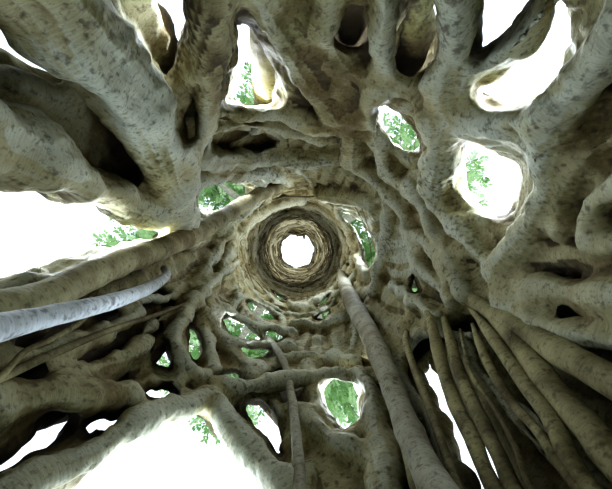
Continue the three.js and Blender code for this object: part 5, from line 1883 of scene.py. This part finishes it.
@dataclass
class Foliage:
    """The leaves and twigs of every mass, which grow on from the limbs.

    Attributes:
        hollow: The hollow, whose sight line to the sky stays open.
        limbs, masses: The limbs, which leaves keep off, and the spaces that the leaves keep to.
        box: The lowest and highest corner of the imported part.
        branches, stretch: How many branchlets a mass's stem bears, and on which shares of its length.
        lifts: How steeply they rise, from the lowest to the highest.
        twig_gap, leaf_gap: Metres from twig to twig and from leaf to leaf.
        leaf_length: The shortest and longest leaf.
        opening: Slope of the clear cone of sky over the hollow.
        stem_radii, twig_radii: The stem's radii beyond the limb's tip, and a twig's at its foot and tip.
        leaf: The leaf's shape.
    """

    hollow: Hollow
    limbs: list[Limb]
    masses: list[LeafMass]
    box: tuple[Array, Array]
    branches: int = 42
    stretch: tuple[float, float] = (0.25, 0.97)
    lifts: tuple[float, float] = (-0.5, 0.88)
    twig_gap: float = 0.165
    leaf_gap: float = 0.046
    leaf_length: tuple[float, float] = (0.15, 0.23)
    opening: float = 0.058
    stem_radii: tuple[float, ...] = (0.062, 0.046, 0.026)
    twig_radii: tuple[float, float] = (0.0065, 0.0025)
    leaf: LeafShape = LeafShape()

    GOLDEN = 2.39996
    ROOM = 0.25
    LIMB_ROOM = 0.12

    def own(self, mass: LeafMass, points: Array, limit: float) -> Array:
        """Whether some points are in a mass's own space.

        Args:
            mass: The mass.
            points: The points, one a row.
            limit: How far out they may be.

        Returns:
            True for each point that is.
        """
        here = mass.outness(points)
        clear = here < limit
        for other in self.masses:
            if other is not mass:
                clear &= other.outness(points) > here + 0.02
        axis = self.hollow.place(0.0, points[..., 2], 0.0)
        rise = points[..., 2] - self.hollow.eye_z
        clear &= np.hypot(points[..., 0] - axis[..., 0], points[..., 1] - axis[..., 1]) > self.opening * rise
        low, high = self.box
        return clear & ((points > low - self.ROOM) & (points < high + self.ROOM)).all(axis=-1)

    def reach(self, mass: LeafMass, root: Array, way: Array) -> float:
        """How far a straight branchlet can go before it leaves its mass's space."""
        steps = np.arange(0.05, 4.0, 0.05)
        inside = self.own(mass, root + steps[:, None] * way, 0.96)
        return float(steps[-1] if inside.all() else steps[inside.argmin()] - 0.05)

    def stem(self, mass: LeafMass) -> tuple[SmoothCurve, list[float]]:
        """The stem that carries on from the limb's tip into the mass.

        Args:
            mass: The mass.

        Returns:
            Its middle line and its radii.
        """
        heading = mass.limb.curve.heading(1.0)
        tip = mass.limb.curve.at(1.0)
        knots = [
            tip - heading * 0.05,
            tip + heading * 0.26,
            tip + (mass.centre - tip) * 0.6 + heading * 0.13,
            tip + (mass.centre - tip) * 1.25,
        ]
        return SmoothCurve(np.array(knots)), [mass.limb.radii[-1], *self.stem_radii]

    def branchlets(self, mass: LeafMass, stem: SmoothCurve, random: Random) -> list[SmoothCurve]:
        """The branchlets, which turn by the golden angle up the stem and reach the mass's surface.

        Args:
            mass: The mass.
            stem: Its stem.
            random: The source of chance.

        Returns:
            Their middle lines.
        """
        found = []
        for number in range(self.branches):
            share = (number + 0.5) / self.branches
            root = stem.at(self.stretch[0] + (self.stretch[1] - self.stretch[0]) * share)
            lift = self.lifts[0] + (self.lifts[1] - self.lifts[0]) * share + random.uniform(-0.14, 0.14)
            turn = number * self.GOLDEN + random.uniform(-0.25, 0.25)
            flat = math.sqrt(max(0.05, 1 - lift * lift))
            way = unit(np.array([flat * math.cos(turn), flat * math.sin(turn), lift]))
            reach = self.reach(mass, root, way)
            if reach < 0.45:
                continue
            side = unit(np.cross(way, UP))
            bend = side * random.uniform(-0.1, 0.1) + np.array([0, 0, 0.09])
            knots = [root, root + way * reach * 0.5 + bend * reach, root + way * reach]
            found.append(SmoothCurve(np.array(knots)))
        return found

    def twigs(self, mass: LeafMass, branchlet: SmoothCurve, random: Random) -> list[tuple[Array, Array]]:
        """The straight twigs of one branchlet.

        Args:
            mass: The mass that they keep to.
            branchlet: The branchlet.
            random: The source of chance.

        Returns:
            Each twig's foot and tip.
        """
        found = []
        count = max(2, int(branchlet.length / self.twig_gap))
        for number in range(count):
            share = min(1.0, (number + 1.0) / count)
            base = branchlet.at(share)
            way = branchlet.heading(share)
            side = unit(np.cross(way, UP))
            face = np.cross(side, way)
            turn = number * self.GOLDEN + random.uniform(-0.4, 0.4)
            lean = 0.15 if number == count - 1 else random.uniform(0.7, 1.05)
            out = side * math.cos(turn) + face * math.sin(turn)
            heading = unit(way * math.cos(lean) + out * math.sin(lean))
            length = (0.85 - 0.4 * share) * random.uniform(0.75, 1.2)
            for _ in range(4):
                if self.own(mass, (base + heading * length)[None], 1.0)[0]:
                    found.append((base, base + heading * length))
                    break
                length *= 0.72
        return found

    def leaves(self, mass: LeafMass, feet: Array, tips: Array, keep_off: Array, random: Random) -> Shape:
        """The leaves along a mass's twigs, with one colour to each twig.

        Args:
            mass: The mass.
            feet: The twigs' feet.
            tips: Their tips.
            keep_off: Points of the limbs and how far leaves stay from them, as a fourth number.
            random: The source of chance.

        Returns:
            All the leaves.
        """
        length = np.linalg.norm(tips - feet, axis=1)
        counts = np.maximum(3, (length / self.leaf_gap).astype(int))
        twig = np.repeat(np.arange(len(feet)), counts)
        order = np.concatenate([np.arange(count) for count in counts])
        share = 0.12 + 0.88 * (order + 1) / counts[twig]
        way = ((tips - feet) / length[:, None])[twig]
        base = feet[twig] + (tips - feet)[twig] * share[:, None]
        side = unit(np.cross(way, UP))
        face = np.cross(side, way)
        last = order == counts[twig] - 1
        turn = np.where(order % 2 == 0, 0.25, math.pi - 0.25) + random.uniform(-0.5, 0.5, len(twig))
        lean = np.where(last, 0.1, random.uniform(0.75, 1.15, len(twig)))
        out = side * np.cos(turn)[:, None] + face * np.sin(turn)[:, None]
        heading = way * np.cos(lean)[:, None] + out * np.sin(lean)[:, None]
        heading = unit(heading - UP * random.uniform(0.05, 0.45, len(twig))[:, None])
        size = random.uniform(*self.leaf_length, len(twig))
        flat = unit(UP + random.normal(0, 0.35, (len(twig), 3)))
        end = base + heading * size[:, None]
        kept = self.own(mass, end, 1.04) & self.own(mass, base, 1.04)
        for place in keep_off:
            kept &= np.linalg.norm((base + end) / 2 - place[:3], axis=1) > place[3]
        tone = random.choice(len(LEAF_GREENS), len(feet), p=GREEN_SHARES)[twig]
        return self.leaf.shape(base[kept], heading[kept], flat[kept], size[kept], tone[kept])

    def twig_shape(self, feet: Array, tips: Array) -> Shape:
        """Many thin three-sided twigs at once.

        Args:
            feet, tips: Where each one starts and ends.

        Returns:
            All the twigs as one shape.
        """
        way = unit(tips - feet)
        side = unit(np.cross(way, [0.2, 0.3, 1.0]))
        face = np.cross(way, side)
        turns = np.arange(3) * 2 * math.pi / 3
        ring = side[:, None] * np.cos(turns)[:, None] + face[:, None] * np.sin(turns)[:, None]
        foot = feet[:, None] + ring * self.twig_radii[0]
        tip = tips[:, None] + ring * self.twig_radii[1]
        points = np.concatenate([foot, tip], axis=1)
        walls = walls_of(np.arange(3), (np.arange(3) + 1) % 3, 3)
        faces = (np.arange(len(feet))[:, None, None] * 6 + walls).reshape(-1, 3)
        return Shape.of(points.reshape(-1, 3), faces)

    def build(self) -> None:
        """Makes a piece of leaves and a piece of twigs for each mass."""
        greens = [finish.material() for finish in LEAF_GREENS]
        bark = TWIG_BARK.material()
        samples = np.linspace(0, 1, 14)
        keep_off = np.vstack([
            np.column_stack([curve.at(samples), spread(radii, curve.knot_share(samples)) + self.LIMB_ROOM])
            for curve, radii in ((limb.curve, limb.radii) for limb in self.limbs)
        ])
        stem_style = TubeStyle(10, 0.1, lump=0.04)
        branch_style = TubeStyle(5, 0.24, lump=0.0)
        for number, mass in enumerate(self.masses):
            random = np.random.default_rng(Seed.LEAVES + number)
            stem, radii = self.stem(mass)
            wood = [stem_style.shape(stem, radii, number)]
            ends: list[tuple[Array, Array]] = []
            for branchlet in self.branchlets(mass, stem, random):
                thick = 0.008 + 0.0085 * branchlet.length
                wood.append(branch_style.shape(branchlet, (thick, thick * 0.6, 0.006)))
                ends += self.twigs(mass, branchlet, random)
            feet, tips = (np.array(side) for side in zip(*ends))
            wood.append(self.twig_shape(feet, tips))
            label = mass.name.removeprefix("leaf_mass_")
            dress(Shape.joined(wood).to_object(f"twigs_{label}", [bark]), Slot.BARK, [mass.name])
            leaves = self.leaves(mass, feet, tips, keep_off, random)
            dress(leaves.to_object(f"leaves_{label}", greens), Slot.LEAVES, [mass.name])


# The studio

# The power of the lamps outside some gaps, inside some, and between the wall and the roots behind it
WINDOW_LIGHT = {
    "skylight": 50.0, "right_diamond": 19.0, "right_eye": 22.0, "low_slit": 12.0, "tall_eye": 19.0,
    "fork_notch": 8.0, "great_slope": 56.0, "left_slot": 56.0, "broad_eye": 12.0, "front_oval": 15.0,
    "doorway_edge": 10.0,
}
INNER_LIGHT = {"skylight": 13.0, "great_slope": 3.0, "left_slot": 2.5, "broad_eye": 3.0}
BACK_LIGHT = {"low_oval": 0.5, "low_pocket": 0.4, "fork_notch": 0.6}
# And of the lamps in the middle of the hollow, by height
SHAFT_LIGHT = {3.6: 4.2, 6.5: 12.0, 9.5: 13.5, 11.0: 11.0}


@dataclass
class Studio:
    """The floor, the light and the camera.

    Attributes:
        hollow: The hollow that the camera looks up.
        focal, frame: The photograph's focal length, width and height, in pixels.
        opening: Where the far opening stands in the photograph, in pixels.
        sky: The sky's strength.
        daylight: The colour of the sky and of the light through the gaps.
        fill: The colour of the light in the hollow, which the bark has warmed.
        door_light, fork_light: The power of the lamps in the doorway and at the forked root.
    """

    hollow: Hollow
    focal: float = 400.0
    frame: tuple[int, int] = (612, 489)
    opening: tuple[float, float] = (297.0, 250.0)
    sky: float = 1.3
    daylight: Triple = (0.88, 0.97, 1.07)
    fill: Triple = (1.0, 0.97, 0.9)
    door_light: float = 8.0
    fork_light: float = 1.1

    def add_floor(self) -> None:
        """A plain pale floor under the trunk."""
        half = 40.0
        corners = np.array([(x * half, y * half, -0.002) for x, y in ((-1, -1), (1, -1), (1, 1), (-1, 1))])
        floor = Shape.of(corners, np.array([[0, 1, 2], [0, 2, 3]]))
        floor.to_object("floor", [PALE_FLOOR.material()])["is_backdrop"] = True

    def add_light(self) -> None:
        """A pale sky, and soft light that comes in through the gaps."""
        world = bpy.data.worlds.new("pale_sky")
        world.use_nodes = True
        sky = world.node_tree.nodes["Background"]
        sky.inputs["Color"].default_value = (*self.daylight, 1.0)
        sky.inputs["Strength"].default_value = self.sky
        bpy.context.scene.world = world
        bpy.context.scene.view_settings.view_transform = "Standard"
        bpy.context.scene.view_settings.look = "High Contrast"
        for gap in WINDOWS:
            wall = float(self.hollow.wall_radius(gap.z))
            across = self.hollow.place(gap.bearing + 180, gap.z - 1.0, 0.7)
            if gap.name in WINDOW_LIGHT:
                rho = wall + 0.15
                height = self.hollow.eye_z + (gap.z - self.hollow.eye_z) * rho / wall
                size = max(0.25, min(0.7, 2 * math.radians(gap.half) * wall))
                place = self.hollow.place(gap.bearing, height, rho)
                self.add_lamp(f"light_{gap.name}", WINDOW_LIGHT[gap.name], place, size, across)
            if gap.name in BACK_LIGHT:
                place = self.hollow.place(gap.bearing, gap.z, wall - 0.08)
                aim = self.hollow.place(gap.bearing, gap.z + 0.05, wall + 1.0)
                self.add_lamp(f"light_back_{gap.name}", BACK_LIGHT[gap.name], place, 0.12, aim)
            if gap.name in INNER_LIGHT:
                place = self.hollow.place(gap.bearing, gap.z - 0.4, wall - 0.12)
                self.add_lamp(f"light_in_{gap.name}", INNER_LIGHT[gap.name], place, 0.35, across)
        for z, power in SHAFT_LIGHT.items():
            self.add_lamp(f"light_shaft_{z:.0f}", power, self.hollow.place(0.0, z, 0.0), 0.12)
        fork = self.hollow.place(225.0, 2.3, 0.35)
        self.add_lamp("light_fork", self.fork_light, fork, 0.3, self.hollow.place(155.0, 3.2, 1.0))
        door = self.hollow.place(270.0, 0.9, 1.6)
        self.add_lamp("light_door", self.door_light, door, 0.9, self.hollow.place(90.0, 3.5, 0.6))

    def add_lamp(self, name: str, power: float, place: Array, size: float, aim: Array | None = None) -> None:
        """A soft lamp that isn't seen itself.

        Args:
            name: Its name.
            power: Its power, in watts.
            place: Where it stands.
            size: How wide it is.
            aim: What it shines at; without one it shines all round.
        """
        lamp = bpy.data.lights.new(name, "POINT" if aim is None else "AREA")
        lamp.energy = power
        lamp.color = self.fill if aim is None else self.daylight
        holder = bpy.data.objects.new(name, lamp)
        holder.location = Vector(place)
        if aim is None:
            lamp.shadow_soft_size = size
        else:
            lamp.size = size
            holder.rotation_euler = Vector(aim - place).to_track_quat("-Z", "Y").to_euler()
        holder.visible_camera = False
        bpy.context.scene.collection.objects.link(holder)

    def add_camera(self) -> None:
        """The camera, which lies on the hollow's centre line and looks up it."""
        lens = bpy.data.cameras.new("camera")
        lens.sensor_width = 36.0
        lens.lens = self.focal / self.frame[0] * lens.sensor_width
        lens.clip_start = 0.02
        lens.clip_end = 300.0
        camera = bpy.data.objects.new("camera", lens)
        right = Vector(self.hollow.outward(0.0))
        up = Vector(self.hollow.outward(90.0))
        view = Vector((*self.hollow.lean, 1.0)).normalized()
        view -= right * ((self.opening[0] - self.frame[0] / 2) / self.focal)
        view += up * ((self.opening[1] - self.frame[1] / 2) / self.focal)
        view.normalize()
        right = (right - view * right.dot(view)).normalized()
        above = right.cross(view) * -1
        if above.dot(up) < 0:
            above.negate()
        place = self.hollow.eye()
        rows = [(right[i], above[i], -view[i], place[i]) for i in range(3)]
        camera.matrix_world = Matrix((*rows, (0, 0, 0, 1)))
        bpy.context.scene.collection.objects.link(camera)
        bpy.context.scene.camera = camera

    def build(self) -> None:
        """Sets the studio up."""
        self.add_camera()
        self.add_floor()
        self.add_light()


def corners_of(bounds: tuple[Vector, Vector]) -> list[list[float]]:
    """A box's two corners as plain lists."""
    return [list(corner) for corner in bounds]


def main() -> None:
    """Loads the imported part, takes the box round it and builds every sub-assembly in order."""
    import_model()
    packed = corners_of(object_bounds())
    hollow = Hollow()
    Studio(hollow).build()
    LatticeTrunk(hollow).build()
    LooseRoots(hollow).build()
    UpperFibres(hollow).build()
    limbs, masses = CrownPlan(hollow).lay_out()
    Boughs(limbs).build()
    Foliage(hollow, limbs, masses, (np.array(packed[0]), np.array(packed[1]))).build()


if __name__ == "__main__":
    logging.basicConfig(level=logging.INFO, format="%(name)s %(message)s")
    main()
